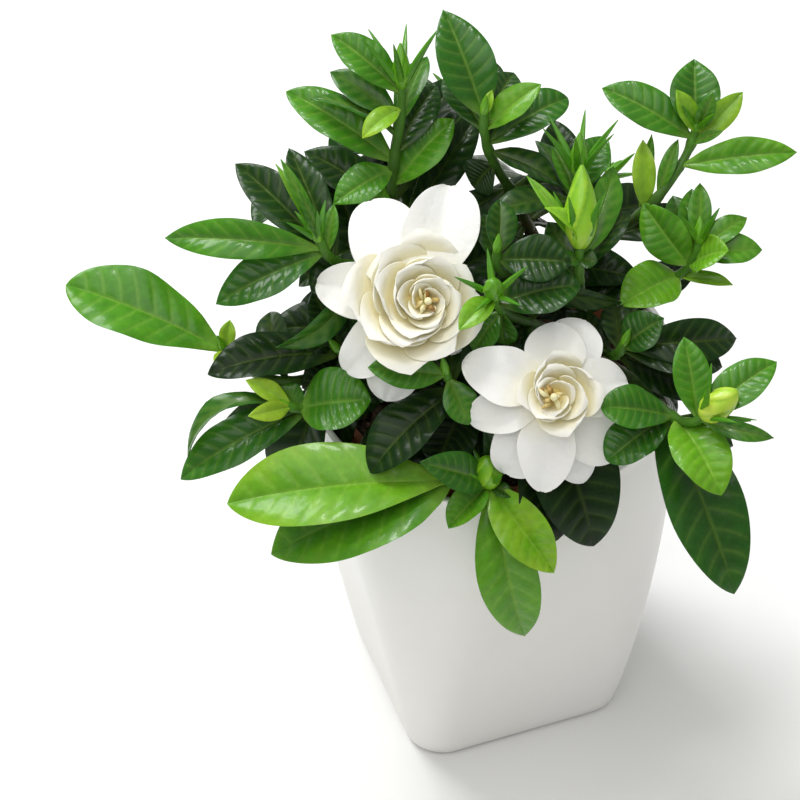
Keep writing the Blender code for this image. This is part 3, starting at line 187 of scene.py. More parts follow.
# Each shoot's apex is (pixel x, pixel y, height above the floor), and its aim is the pixel it points at.
# Each leaf gives the share of the shoot at which it grows, the pixel of its tip, how much nearer to the
# viewer the tip is than the root, its width, and its tone from 0 (oldest, darkest) to 1 (youngest,
# yellow-green). The tone is partly the leaf's own colour and partly painted light and shade: the darkest
# tones paint the shade deep in the crown, and the brightest paint light shining through the leaf.
SHOOTS = {
    "shoot_top_left": Shoot("back_left", (402, 84, 292), (400, 34), CALYX_BUD, (
        Leaf(0.97, (331, 34), 2, 15, 0.6),
        Leaf(0.9, (330, 71), -4, 13, 0.5),
        Leaf(0.86, (311, 96), 4, 10, 0.5, roll=35),
        Leaf(0.88, (427, 56), -10, 12, 0.55, roll=-20),
        Leaf(0.93, (362, 138), 8, 9, 0.95, arch=0.16),
        Leaf(0.78, (286, 90), 0, 18, 0.6, full=1.7),
        Leaf(0.6, (304, 150), -4, 17, 0.2),
        Leaf(0.76, (333, 204), 6, 15, 0.65, peak=0.5),
        Leaf(0.7, (454, 119), 4, 17, 0.7),
        Leaf(0.5, (479, 110), -6, 15, 0.15, roll=25),
        Leaf(0.8, (436, 84), -10, 15, 0.25),
    ), via=(392, 196, 250)),
    "shoot_top_centre": Shoot("back_right", (484, 112, 290), (487, 88), TIP_BUD, (
        Leaf(0.98, (443, 8), -2, 21, 0.45, peak=0.48),
        Leaf(0.95, (514, 72), -12, 14, 0.3),
        Leaf(0.92, (446, 72), -14, 14, 0.3),
        Leaf(0.93, (541, 84), 2, 12, 0.75),
        Leaf(0.87, (568, 96), -2, 16, 0.45, peak=0.62, full=1.6),
        Leaf(0.84, (562, 186), 2, 13, 0.25, roll=-20),
        Leaf(0.98, (492, 90), 3, 4, 0.9),
        Leaf(0.78, (474, 188), -6, 16, 0.08),
    )),
    "shoot_top_middle": Shoot("back_right", (578, 172, 272), (580, 134), CALYX_BUD, (
        Leaf(0.9, (603, 136), -4, 14, 0.5),
        Leaf(0.88, (553, 146), 0, 9, 0.6),
        Leaf(0.84, (536, 140), -12, 12, 0.45, roll=30),
    )),
    "shoot_big_bud": Shoot("right", (580, 243, 258), (582, 165), BIG_BUD, (
        Leaf(0.97, (545, 207), 8, 8, 0.85, roll=30, arch=0.2),
        Leaf(0.92, (614, 166), -12, 13, 0.6),
        Leaf(0.86, (630, 212), -4, 13, 0.12, roll=-15),
        Leaf(0.97, (527, 175), 4, 5, 0.8),
        Leaf(0.93, (563, 262), 4, 7, 0.45),
        Leaf(0.93, (597, 262), 2, 8, 0.3),
        Leaf(0.8, (548, 222), -6, 12, 0.3),
    )),
    "shoot_top_right": Shoot("back_right", (696, 128, 268), (702, 100), SMALL_BUD, (
        Leaf(0.95, (602, 87), 0, 17, 0.6),
        Leaf(0.98, (694, 59), -4, 19, 0.55, peak=0.5),
        Leaf(0.98, (677, 90), 4, 8, 0.85),
        Leaf(0.98, (713, 92), 5, 7, 0.6),
        Leaf(0.94, (743, 92), 3, 10, 0.85),
        Leaf(0.93, (723, 131), 6, 4, 0.6),
        Leaf(0.84, (797, 152), 6, 14, 0.75, roll=15),
        Leaf(0.62, (643, 140), 6, 9, 0.9),
        Leaf(0.6, (652, 134), 0, 5, 0.6),
        Leaf(0.7, (678, 139), 4, 6, 0.6),
    ), via=(652, 204, 245)),
    "shoot_right": Shoot("right", (700, 240, 238), (700, 190), SMALL_BUD, (
        Leaf(0.86, (643, 203), 4, 17, 0.75, peak=0.5, full=1.8),
        Leaf(0.92, (762, 250), 2, 13, 0.7),
        Leaf(0.95, (747, 217), -6, 10, 0.65),
        Leaf(0.86, (728, 250), 10, 15, 0.85, full=1.7),
        Leaf(0.78, (733, 284), 4, 6, 0.85),
        Leaf(0.78, (621, 306), 14, 20, 0.75, peak=0.48, full=1.6),
        Leaf(0.96, (700, 183), 0, 9, 0.65),
        Leaf(0.88, (673, 195), -8, 13, 0.5),
        Leaf(0.9, (692, 188), -10, 12, 0.6),
    )),
    "shoot_right_bud": Shoot("right", (706, 414, 218), (733, 394), ROUND_BUD, (
        Leaf(0.95, (684, 337), 4, 14, 0.65),
        Leaf(0.96, (777, 361), -2, 16, 0.6),
        Leaf(0.96, (774, 438), 4, 7, 0.55, roll=30, arch=0.2),
        Leaf(0.82, (722, 495), 16, 21, 0.82, peak=0.52, full=1.6, arch=0.14),
        Leaf(0.8, (601, 407), 10, 17, 0.55, peak=0.62, full=1.6),
        Leaf(0.78, (607, 461), 6, 18, 0.42, peak=0.6, full=1.5),
        Leaf(0.68, (736, 595), 4, 29, 0.35, full=1.8, arch=0.1),
        Leaf(0.9, (751, 421), 2, 3, 0.7),
        Leaf(0.8, (733, 446), -8, 12, 0.15),
    )),
    "shoot_right_inner": Shoot("right", (624, 343, 222), (632, 324), TIP_BUD, (
        Leaf(0.96, (664, 318), 6, 16, 0.35, peak=0.5),
        Leaf(0.97, (738, 338), -10, 17, 0.1, roll=25, arch=0.16),
        Leaf(0.93, (724, 366), -4, 20, 0.08, arch=0.12),
        Leaf(0.84, (704, 394), -4, 20, 0.05),
        Leaf(0.94, (651, 358), 4, 4, 0.8),
        Leaf(0.75, (566, 310), -8, 11, 0.08),
        Leaf(0.85, (680, 412), -4, 18, 0.04),
        Leaf(0.9, (614, 300), -8, 12, 0.1),
    )),
    "shoot_left_upper": Shoot("back_left", (318, 238, 256), (292, 180), SMALL_BUD, (
        Leaf(0.95, (165, 238), -4, 15, 0.62, roll=-20, arch=0.2),
        Leaf(0.93, (216, 304), 2, 18, 0.5),
        Leaf(0.9, (235, 163), -8, 17, 0.15),
        Leaf(0.96, (276, 164), 3, 4, 0.75),
        Leaf(0.97, (281, 159), 0, 5, 0.65),
        Leaf(0.97, (300, 192), 4, 5, 0.5),
        Leaf(0.92, (334, 204), 2, 6, 0.6),
        Leaf(0.8, (311, 291), 4, 12, 0.15),
        Leaf(0.76, (276, 350), 4, 12, 0.42, roll=-40, arch=0.3),
        Leaf(0.86, (289, 147), -12, 14, 0.15),
    )),
    "shoot_left_tip": Shoot("left", (223, 347, 202), (216, 334), TIP_BUD, (
        Leaf(0.96, (66, 285), 0, 29, 0.7, roll=6, peak=0.6, full=1.7, arch=0.07),
        Leaf(0.97, (230, 320), 3, 6.5, 0.95),
        Leaf(0.97, (219, 370), 13, 6.5, 0.98),
    ), via=(280, 381, 203)),
    "shoot_left_lower": Shoot("left", (286, 405, 200), (258, 396), TIP_BUD, (
        Leaf(0.84, (178, 478), 0, 19, 0.45, full=1.8),
        Leaf(0.95, (184, 456), -4, 11, 0.45, arch=0.3, roll=30, fold=22),
        Leaf(0.96, (246, 380), 8, 8, 0.98),
        Leaf(0.97, (249, 416), 10, 7.5, 0.98),
        Leaf(0.9, (280, 386), 2, 10, 0.5),
        Leaf(0.9, (371, 400), 8, 26, 0.55, peak=0.5, full=1.5),
    )),
    "shoot_inner_left": Shoot("back_left", (338, 350, 210), (326, 336), TIP_BUD, (
        Leaf(0.95, (207, 373), -4, 22, 0.08, full=1.7),
        Leaf(0.93, (312, 292), 0, 15, 0.1),
        Leaf(0.95, (302, 388), 4, 19, 0.04),
        Leaf(0.97, (348, 424), 0, 22, 0.04, full=1.7),
    )),
    "shoot_inner_front": Shoot("front", (446, 372, 218), (440, 350), TIP_BUD, (
        Leaf(0.97, (368, 367), 8, 14, 0.58, roll=10),
        Leaf(0.78, (369, 472), 8, 23, 0.05, peak=0.55, full=1.6),
        Leaf(0.95, (469, 425), 0, 13, 0.58),
        Leaf(0.6, (436, 468), 0, 22, 0.04, full=1.7),
        Leaf(0.5, (480, 462), -4, 18, 0.04),
    )),
    "shoot_front_left": Shoot("front", (447, 478, 186), (436, 462), TIP_BUD, (
        Leaf(0.94, (226, 503), 0, 33, 0.82, peak=0.58, full=1.85, arch=0.08),
        Leaf(0.9, (271, 554), -6, 36, 0.7, peak=0.5, full=1.6, arch=0.08),
    )),
    "shoot_front": Shoot("front", (489, 482, 177), (487, 462), FRONT_BUD, (
        Leaf(0.96, (420, 462), 6, 15, 0.45, peak=0.5),
        Leaf(0.94, (394, 481), 16, 12, 0.2),
        Leaf(0.95, (448, 528), 6, 14, 0.7, fold=30),
        Leaf(0.93, (554, 573), 0, 21, 0.9, fold=30, peak=0.5, full=1.8),
        Leaf(0.88, (526, 641), -18, 23, 0.75, peak=0.5, arch=0.05),
        Leaf(0.96, (513, 497), 4, 6, 0.35),
    )),
    "shoot_centre": Shoot("right", (494, 294, 248), (493, 284), CENTRE_BUD, (
        Leaf(0.97, (459, 330), 10, 10, 0.8, arch=0.14),
        Leaf(0.93, (581, 284), 2, 21, 0.3, full=1.8),
        Leaf(0.86, (474, 352), -4, 14, 0.5),
        Leaf(0.86, (505, 345), -6, 13, 0.5),
    )),
    "shoot_centre_back": Shoot("back_right", (497, 250, 258), (500, 226), TIP_BUD, (
        Leaf(0.95, (572, 262), 0, 18, 0.2, roll=10),
        Leaf(0.97, (500, 199), -2, 13, 0.3, roll=25),
        Leaf(0.8, (622, 303), -4, 10, 0.15, roll=30),
        Leaf(0.9, (484, 214), -8, 10, 0.15),
    )),
}

# Shoots on the far side, which the picture doesn't show: the apex in millimetres, and the way it points.
FAR_SHOOTS = {
    "shoot_far_left": ("back_left", Vector((-37.0, 74.0, 208.0)), Vector((-0.35, 0.8, 0.3))),
    "shoot_far_middle": ("back_left", Vector((19.0, 88.0, 222.0)), Vector((0.1, 0.9, 0.3))),
    "shoot_far_right": ("back_right", Vector((66.0, 50.0, 200.0)), Vector((0.8, 0.5, 0.2))),
}

# The blooms. Outer petals are read off the picture: where each points, counted anticlockwise from the
# right, how far its tip lies to the side of that line, and how blunt it is. Each ring of the rosette has a
# middle of its own.
LEFT_BLOOM_OUTER = (
    Petal(112, 40, 27, 7, 10, 3.0, -3.25),
    Petal(88, 43, 27, 7, 8, 3.0, -1.75, 12.0, 7.0),
    Petal(167, 34.5, 21, 5, 10, 2.5, -5.25, 0.0, 4.0),
    Petal(226, 33, 20, 4, 11, 2.5, -4.75, 0.0, 5.0),
    Petal(256, 35, 22, 3, 13, 2.5, -6.75),
    Petal(320, 24.5, 15, 4, 8, 2.0, -4.25),
)
LEFT_BLOOM_RINGS = (
    Ring(4, 22.8, -2.6, 10.4, 7.0, 3.4, 0.0, 0.2),
    Ring(4, 19.0, -1.1, 10.8, 47.0, 2.8, 0.9, -0.1),
    Ring(4, 15.4, 0.4, 10.9, 78.0, 2.4, 1.8, 0.1),
    Ring(3, 12.0, 1.8, 10.4, 24.0, 2.0, 2.5, -0.2),
    Ring(3, 8.8, 3.1, 9.2, 67.0, 1.7, 3.1, 0.0),
    Ring(3, 6.0, 4.3, 7.2, 15.0, 1.3, 3.6, 0.1),
)
RIGHT_BLOOM_OUTER = (
    Petal(161, 33.5, 23, 5, 6, 2.5, -1.0, 0.0, 3.2),
    Petal(199, 31, 19.5, 3, 8, 2.0, -2.6, 0.0, 3.0),
    Petal(267, 36, 22.5, 2, 11, 3.0, -3.2, 1.0, 3.2),
    Petal(242, 33.5, 24, 1, 10.5, 1.7, -5.1, 0.0, 5.0),
    Petal(291, 35, 18, -1, 11, 2.0, -7.5, 0.0, 5.0),
    Petal(315, 34, 25, 0, 8, 2.0, -5.0, 0.0, 4.0),
    Petal(10, 27.5, 22, 4, 5, 2.0, -2.6, 1.5, 4.5),
    Petal(86, 25, 23, 5, 5, 2.5, -2.2, 0.0, 4.0),
    Petal(64, 28.5, 23, 2, 6, 2.0, -6.0),
)
RIGHT_BLOOM_RINGS = (
    Ring(4, 13.6, 0.2, 8.4, 20.0, 2.4, 2.7, -0.7),
    Ring(3, 9.8, 1.8, 8.4, 0.0, 2.0, 1.6, -1.0),
    Ring(3, 6.6, 3.4, 6.4, 40.0, 1.4, 0.6, -1.4),
)
PETAL_SHOULDER = 0.62
PETAL_CLAW = 1.5
BLOOM_TWIST = -0.15
RING_OVERLAP = 1.42
RING_LAP_HEIGHT = 1.1
BLOOM_CORE_TOP = 5.0
BLOOM_CORE_RADIUS = 5.0
BLOOM_NECK = 17.0
BLOOM_NECK_RADIUS = 2.3
CALYX_LENGTH = 9.0
CALYX_RADIUS = 3.8
CALYX_SHARES = (-0.2, 0.3, 0.7, 1.0)
CALYX_SEPALS = 6
CALYX_PHASE = 0.3
CALYX_OPENING = (0.35, 0.9)
CALYX_SEPAL_LENGTH = 13.0


def sightline(x, y):
    """The way that pixel (x, y) looks, scaled so that it goes 1 deeper into the picture."""
    across = (x - VIEW_MIDDLE_PIXEL) / VIEW_FOCAL_PIXELS
    upward = (VIEW_MIDDLE_PIXEL - y) / VIEW_FOCAL_PIXELS
    return VIEW_RIGHT * across + VIEW_UP * upward - TO_EYE


def seen(x, y, height):
    """The point at this height above the floor that shows at pixel (x, y)."""
    ray = sightline(x, y)
    return EYE + ray * ((height - EYE.z) / ray.z)


def depth_of(point):
    return (EYE - point).dot(TO_EYE)


def seen_at_depth(x, y, depth):
    return EYE + sightline(x, y) * depth


def perpendicular(way, along):
    """The part of way that is square to along, at length 1."""
    along = along.normalized()
    return (way - along * way.dot(along)).normalized()


def smooth_path(points, start_way, end_way, steps=8):
    """Points of a smooth curve through the given ones, which leaves and arrives in the given ways."""
    ways = [start_way.normalized() * (points[1] - points[0]).length]
    ways += [(after - before) * 0.5 for before, after in zip(points, points[2:])]
    ways.append(end_way.normalized() * (points[-1] - points[-2]).length)
    path = []
    for i in range(len(points) - 1):
        for step in range(steps):
            t = step / steps
            path.append(
                points[i] * (2 * t**3 - 3 * t**2 + 1)
                + ways[i] * (t**3 - 2 * t**2 + t)
                + points[i + 1] * (3 * t**2 - 2 * t**3)
                + ways[i + 1] * (t**3 - t**2)
            )
    path.append(points[-1].copy())
    return path


def point_on(path, share):
    place = max(0.0, min(1.0, share)) * (len(path) - 1)
    index = min(int(place), len(path) - 2)
    return path[index].lerp(path[index + 1], place - index)


def way_on(path, share):
    return (point_on(path, share + 0.04) - point_on(path, share - 0.04)).normalized()


def part_of(path, start, end, count):
    return [point_on(path, start + (end - start) * i / (count - 1)) for i in range(count)]


def bloom_frame(x, y, height, lean_right, lean_up):
    """A bloom's middle and its own right, up and out, for one that shows its face at pixel (x, y)."""
    out = (TO_EYE + VIEW_RIGHT * lean_right + VIEW_UP * lean_up).normalized()
    up = perpendicular(VIEW_UP, out)
    return seen(x, y, height), up.cross(out), up, out


BLOOMS = {
    "left": Bloom(
        *bloom_frame(413, 303, 240.0, 0.1, 0.04),
        LEFT_BLOOM_OUTER,
        LEFT_BLOOM_RINGS,
        BLOOM_TWIST,
        (3.6, 0.0),
    ),
    "right": Bloom(
        *bloom_frame(552, 392, 217.0, 0.02, 0.0),
        RIGHT_BLOOM_OUTER,
        RIGHT_BLOOM_RINGS,
        BLOOM_TWIST,
        (-0.6, -1.8),
    ),
}
# Shoots that end in the blooms, with their leaves. The near-black tones of these leaves are partly painted
# shade under the blooms.
BLOOM_SHOOTS = {
    "shoot_bloom_left": ("left", "left", (
        Leaf(0.82, (372, 170), -12, 17, 0.75),
        Leaf(0.72, (335, 385), -6, 22, 0.03),
    )),
    "shoot_bloom_right": ("front", "right", (
        Leaf(0.8, (594, 547), -2, 33, 0.04, arch=0.18, peak=0.5, full=1.5),
        Leaf(0.7, (543, 550), 0, 26, 0.04, arch=0.2, peak=0.55, full=1.6),
    )),
}


def leaf_half_width(blade, t):
    """Half the blade's width at t, from the petiole (0) to the tip (1)."""
    if t >= 1.0:
        return 0.0
    rising = (t / blade.peak) ** (blade.full * blade.peak)
    falling = ((1.0 - t) / (1.0 - blade.peak)) ** (blade.full * (1.0 - blade.peak))
    half = blade.width * 0.5 * rising * falling
    if t < blade.peak:
        half = max(half, PETIOLE_HALF_WIDTH)
    return half


def leaf_surface(blade, grow=0.0):
    """A function from (u, t) to a point of the blade: u runs from edge (-1) to edge (1), t to the tip."""
    chord = blade.tip - blade.root
    side = chord.normalized().cross(blade.normal)
    bend = 4.0 * blade.arch * chord.length
    fold = math.radians(blade.fold)

    def point(u, t):
        centre = blade.root + chord * t + blade.normal * (bend * t * (1.0 - t))
        tangent = chord + blade.normal * (bend * (1.0 - 2.0 * t))
        rise = perpendicular(blade.normal, tangent)
        half = leaf_half_width(blade, t) + grow
        return centre + side * (u * half * math.cos(fold)) + rise * (abs(u) * half * math.sin(fold))

    return point


def outline_share(v, base=0.3, blunt=6.0):
    """How wide a petal is at v, as a share of its width. The blunter it is, the wider is its lip."""
    rising = base + (1.0 - base) * math.sin(min(v / PETAL_SHOULDER, 1.0) * math.pi / 2)
    return rising * math.sqrt(max(0.0, 1.0 - v**blunt))


def outer_petal_surface(bloom, petal):
    """A function from (u, v) to a point of a spreading outer petal, v from its claw (0) to its lip (1)."""
    clock = math.radians(petal.clock)
    along = bloom.right * math.cos(clock) + bloom.up * math.sin(clock)
    side = along.cross(bloom.out)

    def point(u, v):
        reach = PETAL_CLAW + (petal.reach - PETAL_CLAW) * v
        centre = bloom.centre + along * reach + side * (petal.aside * max(v, 0.0) ** 0.6)
        share = outline_share(v, 0.3, petal.blunt)
        height = petal.level + petal.rise * math.sin(v * math.pi / 2) - petal.curl * v * v
        height += petal.cup * u * u * v * share
        return centre + side * (u * petal.width * 0.5 * share) + bloom.out * height

    return point


def ring_petal_surface(bloom, ring, index):
    """A function from (u, v) to a point of a rosette petal, which stands up and overlaps its neighbour."""
    middle = math.radians(ring.phase + 360.0 * index / ring.count)
    half_angle = RING_OVERLAP * math.pi / ring.count
    heart = bloom.centre + bloom.right * ring.right + bloom.up * ring.up

    def point(u, v):
        share = outline_share(v, 0.75)
        angle = middle + u * half_angle * share
        lip = v**5
        bowl = 0.08 + 0.92 * math.sin(max(v, 0.0) ** 0.8 * math.pi / 2)
        radius = ((ring.radius - ring.lip) * bowl + ring.lip * lip) * (1.0 + bloom.twist * u)
        height = ring.level + ring.height * max(v, 0.0) ** 2.2 - 0.4 * ring.lip * lip
        height += RING_LAP_HEIGHT * u * share - 2.0 * u * u * v * share
        flat = bloom.right * math.cos(angle) + bloom.up * math.sin(angle)
        return heart + flat * radius + bloom.out * height

    return point


def thin_solid(surface, stations, across, thickness):
    """Points and triangles of a closed thin solid round a surface, sharp at its edges and far end."""
    step = 0.02
    points = []
    faces = []
    rows = []
    for t in stations[:-1]:
        top = []
        bottom = []
        for u in across:
            here = surface(u, t)
            if abs(u) == 1.0:
                points.append(here)
                top.append(len(points) - 1)
                bottom.append(len(points) - 1)
                continue
            over_u = surface(u + step, t) - surface(u - step, t)
            over_t = surface(u, min(t + step, 0.99)) - surface(u, max(t - step, 0.0))
            offset = over_u.cross(over_t).normalized() * (thickness * 0.5)
            points.append(here + offset)
            top.append(len(points) - 1)
            points.append(here - offset)
            bottom.append(len(points) - 1)
        rows.append((top, bottom))
    points.append(surface(0.0, stations[-1]))
    end = len(points) - 1
    last = len(across) - 1
    for (top, bottom), (next_top, next_bottom) in zip(rows, rows[1:]):
        for j in range(last):
            faces.append((top[j], top[j + 1], next_top[j + 1]))
            faces.append((top[j], next_top[j + 1], next_top[j]))
            faces.append((bottom[j], next_bottom[j + 1], bottom[j + 1]))
            faces.append((bottom[j], next_bottom[j], next_bottom[j + 1]))
    top, bottom = rows[-1]
    for j in range(last):
        faces.append((top[j], top[j + 1], end))
        faces.append((bottom[j + 1], bottom[j], end))
    top, bottom = rows[0]
    ring = bottom[:] + top[-2:0:-1]
    faces += [(ring[0], ring[j], ring[j + 1]) for j in range(1, len(ring) - 1)]
    return points, faces


def tube(path, radii, sides):
    """Points and faces of a closed tube along a path, with flat ends."""
    points = []
    faces = []
    normal = perpendicular(VIEW_RIGHT, path[1] - path[0])
    for i, (centre, radius) in enumerate(zip(path, radii)):
        way = path[min(i + 1, len(path) - 1)] - path[max(i - 1, 0)]
        normal = perpendicular(normal, way)
        other = way.normalized().cross(normal)
        for k in range(sides):
            turn = 2.0 * math.pi * k / sides
            points.append(centre + normal * (radius * math.cos(turn)) + other * (radius * math.sin(turn)))
    for i in range(len(path) - 1):
        for k in range(sides):
            a = i * sides + k
            b = i * sides + (k + 1) % sides
            faces.append((a, b, b + sides, a + sides))
    faces.append(tuple(reversed(range(sides))))
    faces.append(tuple(range(len(points) - sides, len(points))))
    return points, faces


def spindle(start, end, width):
    """A closed bud, fat below its middle and pointed."""
    sides = 6 if width > 5.0 else 4
    path = [start.lerp(end, share) for share in BUD_SHARES]
    return tube(path, [width * 0.5 * girth for girth in BUD_GIRTHS], sides)


def sepal_tip(foot, way, outward, length):
    return foot + (way + outward * SEPAL_BEND) * length


def ways_round(aim, count, phase):
    """Ways outwards from a shoot's end, evenly spaced round it."""
    right = perpendicular(VIEW_RIGHT, aim)
    other = aim.cross(right)
    for i in range(count):
        turn = 2.0 * math.pi * (i + phase) / count
        yield right * math.cos(turn) + other * math.sin(turn)


def bud_of(name):
    return SHOOTS[name].bud if name in SHOOTS else SMALL_BUD


def sepals_of(name, apex, aim):
    """The foot, way, way outwards and length of each sepal round a shoot's bud or calyx."""
    if name in BLOOM_SHOOTS:
        foot = apex + aim * (CALYX_LENGTH * 0.5)
        onwards, aside = CALYX_OPENING
        for outward in ways_round(aim, CALYX_SEPALS, CALYX_PHASE):
            yield foot, (aim * onwards + outward * aside).normalized(), outward, CALYX_SEPAL_LENGTH
        return
    bud = bud_of(name)
    flare = math.radians(bud.flare)
    for outward in ways_round(aim, bud.sepals, bud.phase):
        way = aim * math.cos(flare) + outward * math.sin(flare)
        foot = apex + aim * (bud.length * SEPAL_FOOT) + outward * (bud.width * SEPAL_OFFSET)
        yield foot, way, outward, bud.sepal_length


def tree_of(solids):
    """One search tree for a list of (points, faces)."""
    points = []
    faces = []
    for more_points, more_faces in solids:
        faces += [tuple(index + len(points) for index in face) for face in more_faces]
        points += more_points
    return BVHTree.FromPolygons(points, faces)


def place_leaf(path, leaf, slip=0.0, more_arch=0.0, lift=0.0, twist=0.0):
    """The blade of a leaf that the picture shows. Lift brings its tip nearer along its own sightline."""
    arch = leaf.arch + more_arch
    root = point_on(path, min(leaf.at + slip, 0.98))
    tip = seen_at_depth(*leaf.tip, depth_of(root) - leaf.nearer - lift)
    normal = perpendicular(SKY, tip - root)
    turn = Matrix.Rotation(math.radians(leaf.roll + twist), 3, (tip - root).normalized())
    return Blade(root, tip, turn @ normal, leaf.width, leaf.tone, arch, leaf.fold, leaf.peak, leaf.full)


class Crown:
    """Everything placed so far, by node, so that a new leaf can be bent clear of it."""

    def __init__(self):
        self.trees = {}
        self.shown = []

    def add(self, node, solids, shown=False):
        self.trees.setdefault(node, []).append(tree_of(solids))
        if shown:
            self.shown += solids

    def add_leaf(self, node, blade, shown):
        self.trees.setdefault(node + "/leaves", []).append(tree_of([leaf_solid(blade, 0.0, LEAF_TRIMMED)]))
        self.add(node, [leaf_solid(blade)], shown)

    def clear_of_others(self, node, blade):
        tree = tree_of([leaf_solid(blade, CLEARANCE)])
        for name, others in self.trees.items():
            if name.split("/")[0] != node and "/" not in name:
                if any(tree.overlap(other) for other in others):
                    return False
        return True

    def clear_of_own(self, node, blade):
        tree = tree_of([leaf_solid(blade, CLEARANCE, LEAF_TRIMMED)])
        return not any(tree.overlap(other) for other in self.trees.get(node + "/leaves", []))


def leaf_solid(blade, grow=0.0, stations=None):
    if stations is None:
        small = blade.width < SMALL_LEAF_WIDTH or blade.filler
        stations = SMALL_LEAF_STATIONS if small else LEAF_STATIONS
    return thin_solid(leaf_surface(blade, grow), stations, LEAF_ACROSS, LEAF_THICKNESS + grow)


def settle(crown, node, tries):
    """The first blade clear of everything, else the first clear of the other nodes, else None."""
    second = None
    for blade in tries:
        if crown.clear_of_others(node, blade):
            if crown.clear_of_own(node, blade):
                return blade
            second = second or blade
    return second


def hero_tries(path, leaf):
    slips = (0.0, -0.1, 0.06, -0.2)
    arches = (0.0, 0.1)
    lifts = (0, 5, -5, 10, -10, 15, -15, 20, -20)
    twists = (0, 15, -15, 30, -30)
    for slip, more_arch, lift, twist in product(slips, arches, lifts, twists):
        yield place_leaf(path, leaf, slip, more_arch, lift, twist)


def inside(point, reach):
    """Whether a point is within the crown's ellipsoid of the given reach."""
    away = VIEW_RIGHT.cross(UP) * -1.0
    offset = point - CROWN_MIDDLE
    share = Vector((offset.dot(VIEW_RIGHT) / reach.x, offset.dot(away) / reach.y, offset.z / reach.z))
    return share.length < 1.0


def may_show(shown_tree, blade):
    """Whether a leaf that the picture doesn't show is behind those it shows, or deep in the crown."""
    surface = leaf_surface(blade)
    for u, t in LEAF_PROBES:
        point = surface(u, t)
        if not inside(point, CROWN_REACH) or point.z < LOWEST_LEAF:
            return False
        if shown_tree.ray_cast(point + TO_EYE * RAY_START, TO_EYE)[0] is not None:
            continue
        if shown_tree.ray_cast(point - TO_EYE * RAY_START, -TO_EYE)[0] is not None:
            return False
        if not inside(point, DEEP_REACH):
            return False
    return True


def filler_tries(path, share, turn, spread, length, tone, draw):
    """Blades for a leaf that the picture doesn't show, most wanted first."""
    root = point_on(path, share)
    stem = (way_on(path, share) + UP * 0.4).normalized()
    right = perpendicular(VIEW_RIGHT, stem)
    other = stem.cross(right)
    width = length * draw.uniform(*FILLER_SLENDERNESS)
    form = (draw.uniform(*FILLER_ARCH), FILLER_FOLD, FILLER_PEAK, FILLER_FULL)
    for shrink, swing, dip in product(FILLER_SHRINKS, FILLER_SWINGS, FILLER_DIPS):
        around = math.radians(turn + swing)
        outward = right * math.cos(around) + other * math.sin(around)
        opening = math.radians(spread + dip)
        way = stem * math.cos(opening) + outward * math.sin(opening)
        tip = root + way * (length * shrink)
        normal = perpendicular(stem + UP, way)
        yield Blade(root, tip, normal, width * shrink, tone, *form, filler=True)


def shoot_ends():
    """For every shoot: its fork, the points it passes after that, and the way that its tip points."""
    ends = {}
    for name, (cutting, bloom_name, _) in BLOOM_SHOOTS.items():
        bloom = BLOOMS[bloom_name]
        apex = bloom.centre - bloom.out * (BLOOM_NECK + GAP + CALYX_LENGTH)
        ends[name] = (CUTTINGS[cutting].fork, [apex], bloom.out)
    for name, shoot in SHOOTS.items():
        apex = seen(*shoot.apex)
        aim = (seen_at_depth(*shoot.aim, depth_of(apex) - AIM_NEARER) - apex).normalized()
        points = [apex] if shoot.via is None else [seen(*shoot.via), apex]
        ends[name] = (CUTTINGS[shoot.cutting].fork, points, aim)
    for name, (cutting, apex, aim) in FAR_SHOOTS.items():
        ends[name] = (CUTTINGS[cutting].fork, [apex], aim.normalized())
    return ends


def path_tries(fork, points, aim):
    """Paths for a shoot, the straightest first and then those pushed aside in their lower half."""
    first = points[0] - fork
    right = perpendicular(VIEW_RIGHT, first)
    other = first.normalized().cross(right)
    for reach in PATH_PUSHES:
        for eighth in range(8 if reach else 1):
            turn = math.pi / 4 * eighth
            push = right * (reach * math.cos(turn)) + other * (reach * math.sin(turn))
            lower = fork + first * PUSHED_SHARE + push
            yield smooth_path([fork, lower] + points, lower - fork + UP * START_LIFT, aim + UP * END_LIFT)


def shoot_paths():
    """The path of every shoot from its fork to its tip, clear of the others and of the blooms."""
    taken = {"wood_" + name: [tree_of(wood_solids(name))] for name in CUTTINGS}
    for name, bloom in BLOOMS.items():
        taken["bloom_" + name] = [tree_of(bloom_solids(bloom))]
    paths = {}
    for name, (fork, points, aim) in shoot_ends().items():
        wood = "wood_" + cutting_of(name)
        for path in path_tries(fork, points, aim):
            stem = tree_of([stem_solid(path, CLEARANCE)])
            branch = tree_of([branch_solid(path, CLEARANCE)])
            stem_blocked = any(stem.overlap(tree) for trees in taken.values() for tree in trees)
            branch_blocked = any(
                branch.overlap(tree) for other, trees in taken.items() if other != wood for tree in trees
            )
            if not stem_blocked and not branch_blocked:
                break
        paths[name] = (path, aim)
        taken[name] = [tree_of([stem_solid(path)])]
        taken[wood].append(tree_of([branch_solid(path)]))
    return paths


def cutting_of(name):
    if name in SHOOTS:
        return SHOOTS[name].cutting
    if name in FAR_SHOOTS:
        return FAR_SHOOTS[name][0]
    return BLOOM_SHOOTS[name][0]


def leaves_of(name):
    if name in SHOOTS:
        return SHOOTS[name].leaves
    if name in BLOOM_SHOOTS:
        return BLOOM_SHOOTS[name][2]
    return ()


def branch_solid(path, grow=0.0):
    """The woody foot of a shoot."""
    return tube(part_of(path, 0.0, WOOD_SHARE, 3), [radius + grow for radius in WOOD_RADII], STEM_SIDES)


